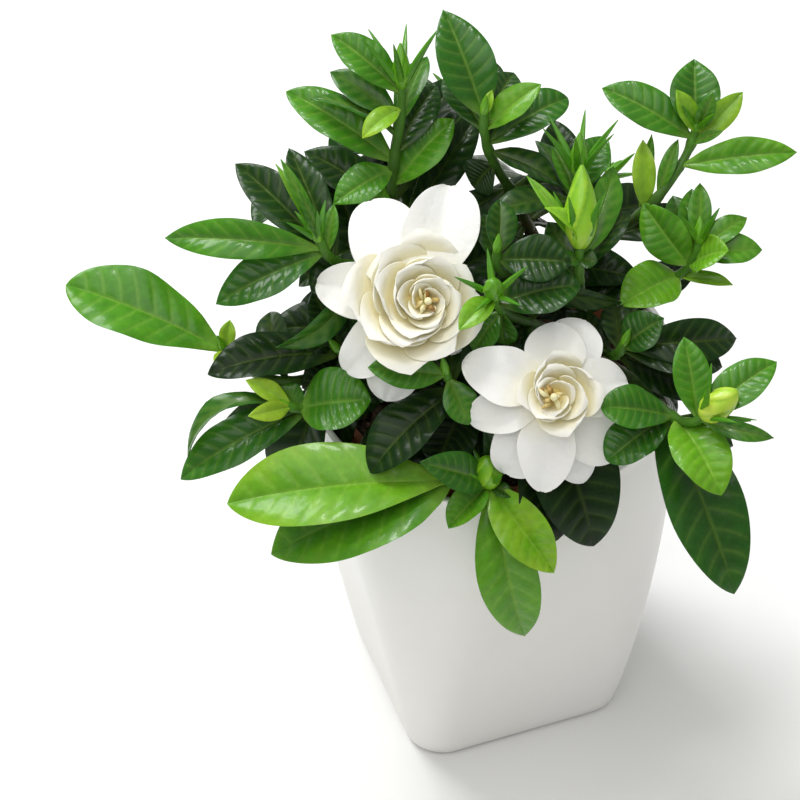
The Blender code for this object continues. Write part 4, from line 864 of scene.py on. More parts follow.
def stem_solid(path, grow=0.0):
    """The green stem of a shoot, which starts a small gap above its woody foot."""
    share = WOOD_SHARE + (GAP + grow) / path_length(path)
    points = part_of(path, share, 1.0, STEM_RINGS)
    taper = (SHOOT_END_RADIUS - SHOOT_ROOT_RADIUS) / (STEM_RINGS - 1)
    radii = [SHOOT_ROOT_RADIUS + taper * i + grow for i in range(STEM_RINGS)]
    return tube(points, radii, STEM_SIDES)


def path_length(path):
    return sum((b - a).length for a, b in zip(path, path[1:]))


def calyx_solid(apex, out):
    """The green cup under a bloom."""
    path = [apex + out * (CALYX_LENGTH * share) for share in CALYX_SHARES]
    return tube(path, (SHOOT_END_RADIUS * 0.9, CALYX_RADIUS * 0.8, CALYX_RADIUS, CALYX_RADIUS * 0.85), 8)


def tip_solids(name, path, aim):
    """What ends a shoot: its bud, or the calyx of its bloom, and the sepals round it."""
    apex = path[-1]
    if name in BLOOM_SHOOTS:
        solids = [calyx_solid(apex, aim)]
    else:
        bud = bud_of(name)
        solids = [spindle(apex - aim * BUD_SUNK, apex + aim * bud.length, bud.width)]
    for layout in sepals_of(name, apex, aim):
        solids.append(tube([layout[0], sepal_tip(*layout)], SEPAL_RADII, 3))
    return solids


def bloom_core_point(bloom, height):
    """The middle of a bloom's core at a height over its centre. It leans to the heart of the rosette."""
    share = (height + BLOOM_NECK) / (BLOOM_CORE_TOP + BLOOM_NECK)
    right, up = bloom.heart
    return bloom.centre + bloom.out * height + (bloom.right * right + bloom.up * up) * share**3


def bloom_solids(bloom):
    """The core of a bloom and all its petals."""
    core = [bloom_core_point(bloom, height) for height in (-BLOOM_NECK, -7.0, -3.0, 1.0, BLOOM_CORE_TOP)]
    radii = (BLOOM_NECK_RADIUS, BLOOM_NECK_RADIUS * 1.2, BLOOM_CORE_RADIUS, BLOOM_CORE_RADIUS, 2.6)
    solids = [tube(core, radii, 8)]
    for petal in bloom.outer:
        surface = outer_petal_surface(bloom, petal)
        solids.append(thin_solid(surface, OUTER_PETAL_STATIONS, OUTER_PETAL_ACROSS, PETAL_THICKNESS))
    for ring in bloom.rings:
        for index in range(ring.count):
            surface = ring_petal_surface(bloom, ring, index)
            solids.append(thin_solid(surface, RING_PETAL_STATIONS, RING_PETAL_ACROSS, PETAL_THICKNESS))
    return solids


def trunk_points(cutting):
    """The middle of a cutting's trunk, from inside the soil to its fork."""
    foot = Vector((cutting.x, cutting.y, SOIL_TOP - STEM_HOLE_DEPTH + 1.0))
    ground = Vector((cutting.x, cutting.y, SOIL_TOP + 3.0))
    return [foot, ground, ground.lerp(cutting.fork, 0.6), cutting.fork]


def wood_solids(name):
    """The trunk of a cutting, without the woody feet of its shoots."""
    radii = (TRUNK_RADIUS, TRUNK_RADIUS, FORK_RADIUS * 1.08, FORK_RADIUS)
    return [tube(trunk_points(CUTTINGS[name]), radii, STEM_SIDES + 1)]


def node_solid(node):
    """The points of a CAD node, in millimetres, and its faces."""
    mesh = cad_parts[node].data
    return [vert.co / MM for vert in mesh.vertices], [tuple(face.vertices) for face in mesh.polygons]


def plan_crown():
    """Places every leaf, those that the picture shows first, each bent clear of the rest."""
    paths = shoot_paths()
    crown = Crown()
    for name in CUTTINGS:
        crown.add("wood_" + name, wood_solids(name))
    for name, (path, aim) in paths.items():
        crown.add("wood_" + cutting_of(name), [branch_solid(path)])
        crown.add(name, [stem_solid(path)] + tip_solids(name, path, aim), shown=True)
    for name, bloom in BLOOMS.items():
        crown.add("bloom_" + name, bloom_solids(bloom), shown=True)
    for node in ("cover_pot", "nursery_pot", "soil"):
        crown.add(node, [node_solid(node)])
    blades = {name: [] for name in paths}
    for name, (path, _) in paths.items():
        for leaf in leaves_of(name):
            blade = settle(crown, name, hero_tries(path, leaf))
            if blade is not None:
                blades[name].append(blade)
                crown.add_leaf(name, blade, shown=True)
    add_fillers(crown, paths, blades)
    return paths, blades


def add_fillers(crown, paths, blades):
    """Leaves in opposite pairs along every shoot, wherever the picture leaves them unseen."""
    shown_tree = tree_of(crown.shown)
    draw = random.Random(FILLER_SEED)
    for name, (path, _) in paths.items():
        far = name in FAR_SHOOTS
        nodes = max(3 if far else 2, round(path_length(path) * (1.0 - WOOD_SHARE) / FILLER_SPACING))
        first = WOOD_SHARE + FILLER_FOOT
        last = FAR_FILLER_END if far else FILLER_END
        for node in range(nodes):
            share = first + (last - first) * node / (nodes - 1)
            lean = draw.uniform(0.0, 90.0)
            for side in range(2):
                turn = lean + 180.0 * side + draw.uniform(-15.0, 15.0)
                length = draw.uniform(*FILLER_LENGTH)
                spread = FILLER_OPENING - FILLER_CLOSING * node / nodes + draw.uniform(-8.0, 8.0)
                tone = 0.05 + 0.3 * (node / nodes) ** 2
                tries = filler_tries(path, share, turn, spread, length, tone, draw)
                blade = settle(crown, name, (blade for blade in tries if may_show(shown_tree, blade)))
                if blade is not None:
                    blades[name].append(blade)
                    crown.add_leaf(name, blade, shown=False)


def rounded_square(half, corner, steps):
    """An outline with round corners, as (x, y) pairs. A corner as large as half makes it a circle."""
    outline = []
    for quarter in range(4):
        for step in range(steps + 1):
            turn = math.pi / 2 * (quarter + step / steps)
            middle_x = (half - corner) * (1 if quarter in (0, 3) else -1)
            middle_y = (half - corner) * (1 if quarter in (0, 1) else -1)
            outline.append((middle_x + corner * math.cos(turn), middle_y + corner * math.sin(turn)))
    return outline


def cover_pot_half(share):
    """Half the cover pot's width at a share of its height, and its corner radius there."""
    half = BASE_WIDTH / 2 + (MOUTH_WIDTH - BASE_WIDTH) / 2 * (1.0 - (1.0 - share) ** POT_FLARE)
    corner = BASE_CORNER + (half - BASE_CORNER) * share**POT_ROUNDING
    return half, min(corner, half * 0.985)


def loft(outlines, heights):
    """Points and faces of a closed solid through a stack of outlines with the same number of points."""
    points = [Vector((x, y, z)) for outline, z in zip(outlines, heights) for x, y in outline]
    count = len(outlines[0])
    faces = []
    for i in range(len(outlines) - 1):
        for k in range(count):
            a = i * count + k
            b = i * count + (k + 1) % count
            faces.append((a, b, b + count, a + count))
    faces.append(tuple(reversed(range(count))))
    faces.append(tuple(range(len(points) - count, len(points))))
    return points, faces


def circle(radius, sides):
    return [
        (radius * math.cos(2 * math.pi * k / sides), radius * math.sin(2 * math.pi * k / sides))
        for k in range(sides)
    ]


def turned(profile, sides):
    """A closed solid turned from (radius, height) pairs, from the middle of its foot to that of its top."""
    return loft([circle(radius, sides) for radius, _ in profile], [height for _, height in profile])


def nursery_radius(height):
    """The outer radius of the nursery pot's wall at a height above the floor."""
    foot = POT_FLOOR + GAP
    share = (height - foot) / (NURSERY_TOP - foot)
    return NURSERY_BASE_RADIUS + (NURSERY_MOUTH_RADIUS - NURSERY_RIM_PROUD - NURSERY_BASE_RADIUS) * share


# The fine pieces. Finishes are the places of a piece's materials: a shoot has leaves, stems and buds.
LEAF_FINISH, STEM_FINISH, BUD_FINISH = range(3)
FINE_SEED = 31
CREASE = 50.0
PLAIN_LOOK = (0.0, 0.0, 0.0)

# Leaves: rows follow the side veins, and columns crowd at the midrib and the margin.
VEIN_PAIRS = 8
SMALL_VEIN_PAIRS = 6
FIRST_VEIN = 0.45
VEIN_LAG = 0.13
VEIN_ROWS = (0.0, 0.16, 0.5, 0.84)
SMALL_VEIN_ROWS = (0.0, 0.5)
VEIN_GROOVE_WIDTH = 0.15
VEIN_PAINT_WIDTH = 0.13
VEIN_PALENESS = 0.55
PETIOLE_SHARE = 0.09
LEAF_COLUMNS = (0.0, 0.035, 0.1, 0.25, 0.45, 0.65, 0.83, 0.95, 1.0)
SMALL_LEAF_COLUMNS = (0.0, 0.08, 0.4, 0.75, 1.0)
SHEET_THICKNESS = 0.5
PETIOLE_THICKNESS = 1.5
TIP_HALF_WIDTH = 0.22
FOLD_ROUNDING = 0.2
QUILT_HEIGHT = 0.34
QUILT_FULL_WIDTH = 20.0
FINE_LEAF_WIDTH = 14.0
MIDRIB_HALF_WIDTH = 0.65
MIDRIB_GROOVE = 0.3
MIDRIB_RIDGE = 0.55
EDGE_WAVE = 0.09
EDGE_WAVES = (1.4, 2.4)
BLADE_BULGE = 0.07
BLADE_DROOP = 0.04
BLADE_TWIST = 0.3
BLADE_FADES = (0.06, 0.05)
STALK_FADE = 0.12
MIDRIB_CLEAR = 0.1
LEAF_TONE_SPAN = (-0.04, 0.04)
EDGE_TONE = 0.05
FOOT_TONE = 0.04

# Petals. An outer petal has an uneven outline, waves in its face and a crease along its middle.
PETAL_SHEET = 0.7
OUTER_GRID = (30, 25)
RING_GRID = (20, 17)
LIP_START = 0.82
LIP_BEND = 1.6
OUTLINE_WAVES = (1.1, 0.35)
MARGIN_WAVE = 0.045
FACE_WAVE = 0.9
CREASE_DEPTH = 0.7
EDGE_RUFFLE = 0.8
RING_WAVE = 0.03
RING_RUFFLE = 0.35

# Stamens: how far they spread, rise and curl.
STAMENS = 8
STAMEN_POINTS = 14
STAMEN_SIDES = 8
STAMEN_FOOT = 0.6
STAMEN_ARCH = 2.3
STAMEN_LENGTH = (2.2, 5.2)
STAMEN_RISE = (3.0, 6.5)
STAMEN_CURL = (0.8, 2.6)
STAMEN_GIRTH = (0.6, 1.0)
STAMEN_LOOK = 2.0
STYLE_LENGTH = 8.0

# Stems, buds and wood.
STEM_ROUND_SIDES = 10
STEM_POINTS = 40
NODE_SWELLING = 0.175
NODE_LENGTH = 0.018
BUD_ROUND_SIDES = 40
BUD_POINTS = 26
ROUND_BUD_GIRTHS = (0.4, 0.86, 1.0, 0.76, 0.16)
BUD_PETALS = 5
BUD_TWIST = 0.32
BUD_OVERLAP = 0.13
BUD_TONE = 0.6
BUD_TONES = {"shoot_big_bud": 0.8, "shoot_right_bud": 0.95, "shoot_centre": 0.6, "shoot_front": 0.7}
SEPAL_TONE = 0.72
SEPAL_POINTS = 12
SEPAL_SIDES = 8
CALYX_TONE = 0.6
CALYX_SIDES = 24
CALYX_RIB = 0.08
WOOD_ROUND_SIDES = 14
WOOD_BUMPS = 0.07

# Pots and soil.
FINE_CORNER_STEPS = 24
FINE_WALL_RINGS = 36
FINE_TURNED_SIDES = 96
ROUNDING_STEPS = 5
RIM_STEPS = 8
NURSERY_ROUNDING = 1.5
SOIL_RINGS = 34
SOIL_WAVES = 9
SOIL_WAVE_HEIGHT = 0.32
CRUMB_COUNT = 420
CRUMB_SIZE = (0.6, 2.2)
CRUMB_SIDES = 7

# The stage. A soft box is placed by the camera's right, its level way in, and up, in metres.
SoftBox = namedtuple("SoftBox", "right away up size watts color", defaults=((1.0, 1.0, 1.0),))
SOFT_BOXES = {
    "window": SoftBox(-0.9, 0.9, 1.6, 0.9, 25.0),
    "overhead": SoftBox(-0.3, -0.6, 1.9, 1.6, 15.0, (1.0, 0.985, 0.94)),
    "sparkle": SoftBox(-0.1, 0.2, 1.9, 0.25, 6.0),
}
LIT_POINT = Vector((0.0, 0.0, 0.2))
SKY_STRENGTH = 0.36
FLOOR_REACH = 5.0
FLOOR_DROP = 0.0005
SENSOR_WIDTH = 36.0


def unit(vectors):
    return vectors / np.maximum(np.linalg.norm(vectors, axis=-1, keepdims=True), 1e-9)


def bell(distance, width):
    """1 at distance 0, falling smoothly to 0 a few widths away."""
    return np.exp(-((distance / width) ** 2))


def arrays(*vectors):
    return [np.array(vector[:]) for vector in vectors]


def moved(start, *parts):
    """Points that lie by an amount, which may vary over a grid, along each way from a start."""
    for way, amount in parts:
        start = start + way * np.asarray(amount)[..., None]
    return start


def looks_of(first, second, third):
    """The three numbers kept at each point, from grids or plain numbers."""
    return np.stack(np.broadcast_arrays(first, second, third), axis=-1).reshape(-1, 3)


def phases(draw, count):
    return [draw.uniform(0.0, 2.0 * math.pi) for _ in range(count)]


class Shape:
    """One piece in the making: the points, faces, looks and finishes of all its parts."""

    def __init__(self):
        self.points = []
        self.looks = []
        self.faces = []
        self.finishes = []
        self.count = 0

    def add(self, points, faces, looks=PLAIN_LOOK, finish=0):
        """Adds a closed part. Looks is three numbers for each point, or three for them all."""
        points = np.array([tuple(point) for point in points], float)
        self.points.append(points)
        self.looks.append(np.broadcast_to(looks, points.shape))
        self.faces += [[int(index) + self.count for index in face] for face in faces]
        self.finishes += [finish] * len(faces)
        self.count += len(points)

    def finish(self, name, nodes, slot, materials):
        """Makes the piece, which rides on the body and stands for its CAD nodes."""
        mesh = bpy.data.meshes.new(name)
        mesh.from_pydata((np.concatenate(self.points) * MM).tolist(), [], self.faces)
        mesh.shade_smooth()
        mesh.set_sharp_from_angle(angle=math.radians(CREASE))
        look = mesh.attributes.new("look", "FLOAT_VECTOR", "POINT")
        look.data.foreach_set("vector", np.concatenate(self.looks).astype(np.float32).ravel())
        for material in materials:
            mesh.materials.append(material)
        mesh.polygons.foreach_set("material_index", self.finishes)
        piece = bpy.data.objects.new(name, mesh)
        bpy.context.scene.collection.objects.link(piece)
        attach(piece, "root")
        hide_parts(*nodes)


def sheet(grid, above, below):
    """Points and faces of a closed thin sheet that reaches above and below a grid of points."""
    normals = unit(np.cross(np.gradient(grid, axis=1), np.gradient(grid, axis=0)))
    top = moved(grid, (normals, above))
    under = grid - normals * below[..., None]
    count = top.shape[0] * top.shape[1]
    index = np.arange(count).reshape(top.shape[:2])
    corners = [index[:-1, :-1], index[:-1, 1:], index[1:, 1:], index[1:, :-1]]
    quads = np.stack(corners, axis=-1).reshape(-1, 4)
    rim = np.concatenate([index[0, :-1], index[:-1, -1], index[-1, :0:-1], index[:0:-1, 0]])
    after = np.roll(rim, -1)
    edge = np.stack([after, rim, rim + count, after + count], axis=-1)
    faces = np.concatenate([quads, quads[:, ::-1] + count, edge])
    return np.concatenate([top.reshape(-1, 3), under.reshape(-1, 3)]), faces


def round_tube(path, radii, sides):
    """A closed tube. Radii has one radius for each point of the path, or one for each point and side."""
    path = [Vector(point) for point in path]
    radii = np.asarray(radii, float)
    if radii.ndim == 1:
        radii = np.repeat(radii[:, None], sides, axis=1)
    points, faces = tube(path, [1.0] * len(path), sides)
    centres = np.repeat(np.array([tuple(point) for point in path]), sides, axis=0)
    ring = np.array([tuple(point) for point in points]) - centres
    return centres + ring * radii.reshape(-1, 1), faces


def vein_stations(pairs, rows):
    """Stations from the petiole to the tip, with a row on each pair of side veins."""
    stations = [0.0, PETIOLE_SHARE * 0.35, PETIOLE_SHARE * 0.7]
    step = (1.0 - PETIOLE_SHARE) / (pairs + 0.6)
    for pair in range(pairs):
        stations += [PETIOLE_SHARE + step * (pair + FIRST_VEIN + row) for row in rows]
    stations += [0.5 * (stations[-1] + 1.0), 1.0]
    return np.array(stations), step


def leaf_grid(blade):
    """A leaf's grid: u across it, s along it, t along it with the veins' lag, and the step between veins."""
    fine = blade.width >= FINE_LEAF_WIDTH
    columns = LEAF_COLUMNS if fine else SMALL_LEAF_COLUMNS
    if fine:
        stations, step = vein_stations(VEIN_PAIRS, VEIN_ROWS)
    else:
        stations, step = vein_stations(SMALL_VEIN_PAIRS, SMALL_VEIN_ROWS)
    u, s = np.meshgrid([-column for column in reversed(columns[1:])] + list(columns), stations)
    t = s + 4.0 * VEIN_LAG * np.abs(u) ** 1.25 * s * (1.0 - s)
    return u, s, t, step


def leaf_wave(u, t, draw):
    """How high a leaf's margins wave, as a share of its half width."""
    waves = draw.uniform(*EDGE_WAVES)
    phase = np.where(u < 0.0, *phases(draw, 2))
    size = EDGE_WAVE * draw.uniform(0.6, 1.3)
    return size * u**2 * np.sin(2.0 * np.pi * waves * t + phase) * np.sin(np.pi * np.clip(t, 0.0, 1.0))


def blade_half(blade, t):
    """Half a blade's width over a grid, never less than its petiole's or its tip's."""
    inner = np.clip(t, 1e-3, 1.0 - 1e-4)
    half = blade.width * 0.5 * (inner / blade.peak) ** (blade.full * blade.peak)
    half *= ((1.0 - inner) / (1.0 - blade.peak)) ** (blade.full * (1.0 - blade.peak))
    return np.maximum(half, np.where(t < blade.peak, PETIOLE_HALF_WIDTH, TIP_HALF_WIDTH))


def blade_grid(blade, u, t, draw):
    """A blade's middle surface, folded, bulging, wavy, drooping and twisted, and its half widths."""
    wave = leaf_wave(u, t, draw)
    droop = draw.uniform(0.0, BLADE_DROOP)
    turn = draw.uniform(-BLADE_TWIST, BLADE_TWIST) * (t - 0.5)
    root, tip, normal = arrays(blade.root, blade.tip, blade.normal)
    chord = tip - root
    length = np.linalg.norm(chord)
    bend = 4.0 * blade.arch * length
    half = blade_half(blade, t)
    tangent = moved(chord, (normal, bend * (1.0 - 2.0 * t)))
    rise = unit(normal - tangent * ((tangent @ normal) / (tangent**2).sum(-1))[..., None])
    fold = math.radians(blade.fold)
    rounded = np.sqrt(u**2 + FOLD_ROUNDING**2) - FOLD_ROUNDING
    rounded /= math.hypot(1.0, FOLD_ROUNDING) - FOLD_ROUNDING
    across = u * half * math.cos(fold)
    lift = rounded * half * math.sin(fold)
    lift += BLADE_BULGE * half * np.sin(np.pi * np.abs(u)) + wave * half - droop * length * t**5
    centre = moved(root, (chord, t), (normal, bend * t * (1.0 - t)))
    flat = across * np.cos(turn) - lift * np.sin(turn)
    high = across * np.sin(turn) + lift * np.cos(turn)
    return moved(centre, (np.cross(chord / length, normal), flat), (rise, high)), half


def add_leaf(shape, blade, draw):
    """A thin leaf that swells between its side veins, with a midrib grooved above and ridged below."""
    u, s, t, step = leaf_grid(blade)
    grid, half = blade_grid(blade, u, t, draw)
    from_vein = ((s - PETIOLE_SHARE) / step - FIRST_VEIN + 0.5) % 1.0 - 0.5
    near, far = BLADE_FADES
    bladed = np.clip((s - PETIOLE_SHARE) / near, 0.0, 1.0) * np.clip((1.0 - s) / far, 0.0, 1.0)
    in_blade = bladed * (1.0 - np.abs(u) ** 6)
    swell = QUILT_HEIGHT * min(1.0, blade.width / QUILT_FULL_WIDTH) * in_blade
    quilt = swell * (0.6 - bell(from_vein, VEIN_GROOVE_WIDTH)) * (1.0 - bell(u, MIDRIB_CLEAR))
    midrib = bell(u * half, MIDRIB_HALF_WIDTH) * np.clip((1.0 - s) * 4.0, 0.0, 1.0)
    stalk = 1.0 - np.clip((s - PETIOLE_SHARE * 0.6) / STALK_FADE, 0.0, 1.0)
    thickness = SHEET_THICKNESS * (1.0 - 0.7 * u**8)
    thickness += (PETIOLE_THICKNESS - SHEET_THICKNESS) * stalk * (1.0 - 0.9 * u**2)
    above = thickness * 0.5 + quilt - MIDRIB_GROOVE * midrib * bladed
    below = thickness * 0.5 - quilt * 0.8 + MIDRIB_RIDGE * midrib
    veins = np.maximum(midrib, VEIN_PALENESS * bell(from_vein, VEIN_PAINT_WIDTH) * in_blade)
    veins = np.maximum(veins, stalk)
    tone = blade.tone + draw.uniform(*LEAF_TONE_SPAN) + EDGE_TONE * np.abs(u) - FOOT_TONE * (1.0 - t)
    looks = np.concatenate([looks_of(veins, underside, tone) for underside in (0.0, 1.0)])
    shape.add(*sheet(grid, above, below), looks, LEAF_FINISH)


def nearest_share(path, point):
    shares = np.linspace(0.0, 1.0, 80)
    return min(shares, key=lambda share: (point_on(path, share) - point).length)


def add_stem(shape, path, blades):
    """The green stem of a shoot, swollen at its leaf nodes."""
    shares = np.linspace(WOOD_SHARE, 1.0, STEM_POINTS)
    taper = SHOOT_END_RADIUS - SHOOT_ROOT_RADIUS
    radii = SHOOT_ROOT_RADIUS + taper * (shares - WOOD_SHARE) / (1.0 - WOOD_SHARE)
    for share in sorted({nearest_share(path, blade.root) for blade in blades}):
        radii = radii * (1.0 + NODE_SWELLING * bell(shares - share, NODE_LENGTH))
    line = [point_on(path, share) for share in shares]
    age = np.repeat((shares - WOOD_SHARE) / (1.0 - WOOD_SHARE), STEM_ROUND_SIDES)
    shape.add(*round_tube(line, radii, STEM_ROUND_SIDES), looks_of(age, 0.0, age), STEM_FINISH)


def add_bud(shape, start, end, width, tone):
    """A furled bud, whose petals overlap and twist."""
    shares = np.linspace(0.0, 1.0, BUD_POINTS)
    girths = ROUND_BUD_GIRTHS if (end - start).length < 2.0 * width else BUD_GIRTHS
    girth = np.polyval(np.polyfit(BUD_SHARES, girths, len(BUD_SHARES) - 1), shares) * width * 0.5
    turns = np.arange(BUD_ROUND_SIDES) / BUD_ROUND_SIDES
    across = (BUD_PETALS * (turns[None, :] - BUD_TWIST * shares[:, None])) % 1.0
    depth = BUD_OVERLAP * np.sin(np.pi * np.clip(shares, 0.05, 1.0)) ** 0.5
    radii = girth[:, None] * (1.0 + depth[:, None] * (across - 0.6))
    line = [start.lerp(end, share) for share in shares]
    looks = looks_of(across, shares[:, None], tone)
    shape.add(*round_tube(line, radii, BUD_ROUND_SIDES), looks, BUD_FINISH)


def add_sepal(shape, foot, way, outward, length, tone):
    """A narrow keeled sepal that curves outwards."""
    tip = sepal_tip(foot, way, outward, length)
    shares = np.linspace(0.0, 1.0, SEPAL_POINTS)
    sag = 0.03 * length
    line = [foot.lerp(tip, share) - outward * (sag * math.sin(math.pi * share)) for share in shares]
    turns = 2.0 * np.pi * np.arange(SEPAL_SIDES) / SEPAL_SIDES
    broad = 1.25 * (1.0 - shares**2.2) + 0.15
    radii = broad[:, None] * (0.5 + 0.5 * np.abs(np.cos(turns))[None, :])
    shape.add(*round_tube(line, radii, SEPAL_SIDES), (0.0, 0.0, tone), LEAF_FINISH)


def add_calyx(shape, apex, out):
    """The ribbed green cup under a bloom."""
    shares = np.linspace(CALYX_SHARES[0], CALYX_SHARES[-1], 14)
    girths = (SHOOT_END_RADIUS * 0.9, CALYX_RADIUS * 0.8, CALYX_RADIUS, 3.2)
    girth = np.interp(shares, CALYX_SHARES, girths)
    ribs = 1.0 + CALYX_RIB * np.cos(CALYX_SEPALS * 2.0 * np.pi * np.arange(CALYX_SIDES) / CALYX_SIDES)
    line = [apex + out * (CALYX_LENGTH * share) for share in shares]
    shape.add(*round_tube(line, girth[:, None] * ribs, CALYX_SIDES), (0.0, 0.0, CALYX_TONE), LEAF_FINISH)


def add_shoot_end(shape, name, path, aim):
    """What ends a shoot: its bud, or the calyx of its bloom, and the sepals round it."""
    apex = path[-1]
    if name in BLOOM_SHOOTS:
        tone = CALYX_TONE
        add_calyx(shape, apex, aim)
    else:
        tone = SEPAL_TONE
        bud = bud_of(name)
        bud_tone = BUD_TONES.get(name, BUD_TONE)
        add_bud(shape, apex - aim * BUD_SUNK, apex + aim * bud.length, bud.width, bud_tone)
    for layout in sepals_of(name, apex, aim):
        add_sepal(shape, *layout, tone)


def petal_shares(v, base, blunt=6.0):
    """The shares of outline_share for a whole grid."""
    return np.vectorize(outline_share)(v, base, blunt)


def petal_grid(size, most=0.996):
    """A petal's grid: u across it, and v from its claw to its lip, closer together towards the lip."""
    stations = most * (1.0 - np.linspace(1.0, 0.0, size[0]) ** 1.5)
    return np.meshgrid(np.linspace(-1.0, 1.0, size[1]), stations)


def past_lip(v):
    """How far each point lies past the place where a petal's lip starts to roll back, squared."""
    return np.clip((v - LIP_START) / (1.0 - LIP_START), 0.0, 1.0) ** 2


def add_petal(shape, grid, v, inner, draw):
    """A thin petal round a grid of points, thinnest at its margin."""
    half = PETAL_SHEET * (1.0 - 0.55 * v**3) * 0.5
    looks = looks_of(v, inner, draw.uniform(0.0, 1.0))
    shape.add(*sheet(grid, half, half), np.concatenate([looks, looks]))


def outer_petal_grid(bloom, petal, draw):
    """A spreading petal: its outline is a little uneven, its face wavy, and its lip rolls back."""
    u, v = petal_grid(OUTER_GRID)
    right, up, out, centre = arrays(bloom.right, bloom.up, bloom.out, bloom.centre)
    clock = math.radians(petal.clock)
    along = right * math.cos(clock) + up * math.sin(clock)
    phase = phases(draw, 5)
    share = petal_shares(v, 0.3, petal.blunt)
    uneven = OUTLINE_WAVES[0] * np.sin(2.6 * u + phase[0]) + OUTLINE_WAVES[1] * np.sin(9.0 * u + phase[4])
    reach = PETAL_CLAW + (petal.reach - PETAL_CLAW) * v + share * v**3 * uneven
    margin = np.where(u < 0.0, phase[1], phase[2])
    half = petal.width * 0.5 * share * (1.0 + MARGIN_WAVE * np.abs(u) * np.sin(6.0 * v + margin))
    height = petal.level + petal.rise * np.sin(v * np.pi / 2) - petal.curl * v * v
    height += petal.cup * u * u * v * share
    height += share * v**2 * (FACE_WAVE * np.sin(3.4 * u + phase[2]) - CREASE_DEPTH * bell(u, 0.16))
    height += EDGE_RUFFLE * np.abs(u) ** 3 * v * np.sin(7.0 * v + phase[3])
    height -= LIP_BEND * past_lip(v)
    aside = u * half + petal.aside * v**0.6
    return moved(centre, (along, reach), (np.cross(along, out), aside), (out, height)), v


def ring_petal_grid(bloom, ring, index, draw):
    """A petal that stands up round the rosette, and whose lip turns outwards."""
    u, v = petal_grid(RING_GRID)
    right, up, out, centre = arrays(bloom.right, bloom.up, bloom.out, bloom.centre)
    middle = math.radians(ring.phase + 360.0 * index / ring.count)
    phase = phases(draw, 3)
    share = petal_shares(v, 0.75)
    half_angle = RING_OVERLAP * math.pi / ring.count
    angle = middle + u * half_angle * share
    lip = v**5
    bowl = 0.08 + 0.92 * np.sin(v**0.8 * np.pi / 2)
    radius = ((ring.radius - ring.lip) * bowl + ring.lip * lip) * (1.0 + bloom.twist * u)
    radius += share * v**2 * RING_WAVE * ring.radius * np.sin(3.0 * u + phase[0])
    radius += share * lip * RING_RUFFLE * np.sin(8.0 * u + phase[1])
    height = ring.level + ring.height * v**2.2 - 0.4 * ring.lip * lip
    height += RING_LAP_HEIGHT * u * share - 2.0 * u * u * v * share
    height += share * v**3 * EDGE_RUFFLE * np.sin(3.4 * u + phase[2])
    height -= 0.5 * ring.lip * past_lip(v)
    flat = moved(np.zeros(3), (right, np.cos(angle)), (up, np.sin(angle)))
    return moved(centre + right * ring.right + up * ring.up, (flat, radius), (out, height)), v


def add_stamens(shape, bloom, draw):
    """Curled, uneven stamens and a knob-ended style in the hollow of the bloom."""
    heart = bloom.centre + bloom.right * bloom.heart[0] + bloom.up * bloom.heart[1]
    shares = np.linspace(0.0, 1.0, STAMEN_POINTS)
    for i in range(STAMENS):
        turn = 2.0 * math.pi * (i + draw.uniform(-0.4, 0.4)) / STAMENS
        flat = bloom.right * math.cos(turn) + bloom.up * math.sin(turn)
        side = bloom.out.cross(flat) * draw.choice((-1.0, 1.0))
        length = draw.uniform(*STAMEN_LENGTH)
        rise = draw.uniform(*STAMEN_RISE)
        curl = draw.uniform(*STAMEN_CURL)
        line = []
        for share in shares:
            height = BLOOM_CORE_TOP - 0.5 + rise * math.sin(share * STAMEN_ARCH)
            straight = heart + flat * (STAMEN_FOOT + length * share) + bloom.out * height
            line.append(straight + side * (curl * share**2))
        girth = draw.uniform(*STAMEN_GIRTH)
        radii = girth * np.sin(np.pi * np.linspace(0.1, 0.92, len(shares))) ** 0.6
        shape.add(*round_tube(line, radii, STAMEN_SIDES), (0.0, STAMEN_LOOK, draw.random()))
    style = []
    for share in shares:
        height = BLOOM_CORE_TOP - 1.0 + STYLE_LENGTH * share
        style.append(heart + bloom.out * height + bloom.right * share)
    radii = np.interp(shares, (0.0, 0.5, 0.8, 1.0), (0.7, 0.8, 1.5, 0.6))
    shape.add(*round_tube(style, radii, 10), (0.0, STAMEN_LOOK, 0.0))


def add_core(shape, bloom):
    """The core that carries a bloom's petals, from its neck to the hollow of the bloom."""
    shares = np.linspace(0.0, 1.0, 16)
    height = BLOOM_NECK + BLOOM_CORE_TOP
    line = [bloom_core_point(bloom, -BLOOM_NECK + height * share) for share in shares]
    girths = (BLOOM_NECK_RADIUS, 2.8, BLOOM_CORE_RADIUS, BLOOM_CORE_RADIUS, 2.6)
    radii = np.interp(shares, (0.0, 0.48, 0.67, 0.86, 1.0), girths)
    shape.add(*round_tube(line, radii, 20), (0.0, 1.0, 0.5))


def build_bloom(name, bloom, finish):
    draw = random.Random(FINE_SEED + len(name))
    shape = Shape()
    add_core(shape, bloom)
    for petal in bloom.outer:
        add_petal(shape, *outer_petal_grid(bloom, petal, draw), 0.0, draw)
    for order, ring in enumerate(bloom.rings):
        # Inner rings take more of the cream and painted shade of the bloom's hollow.
        inner = (order + 1.0) / len(bloom.rings)
        for index in range(ring.count):
            add_petal(shape, *ring_petal_grid(bloom, ring, index, draw), inner, draw)
    add_stamens(shape, bloom, draw)
    shape.finish("flower_" + name, ["bloom_" + name], "petal_white", [finish])


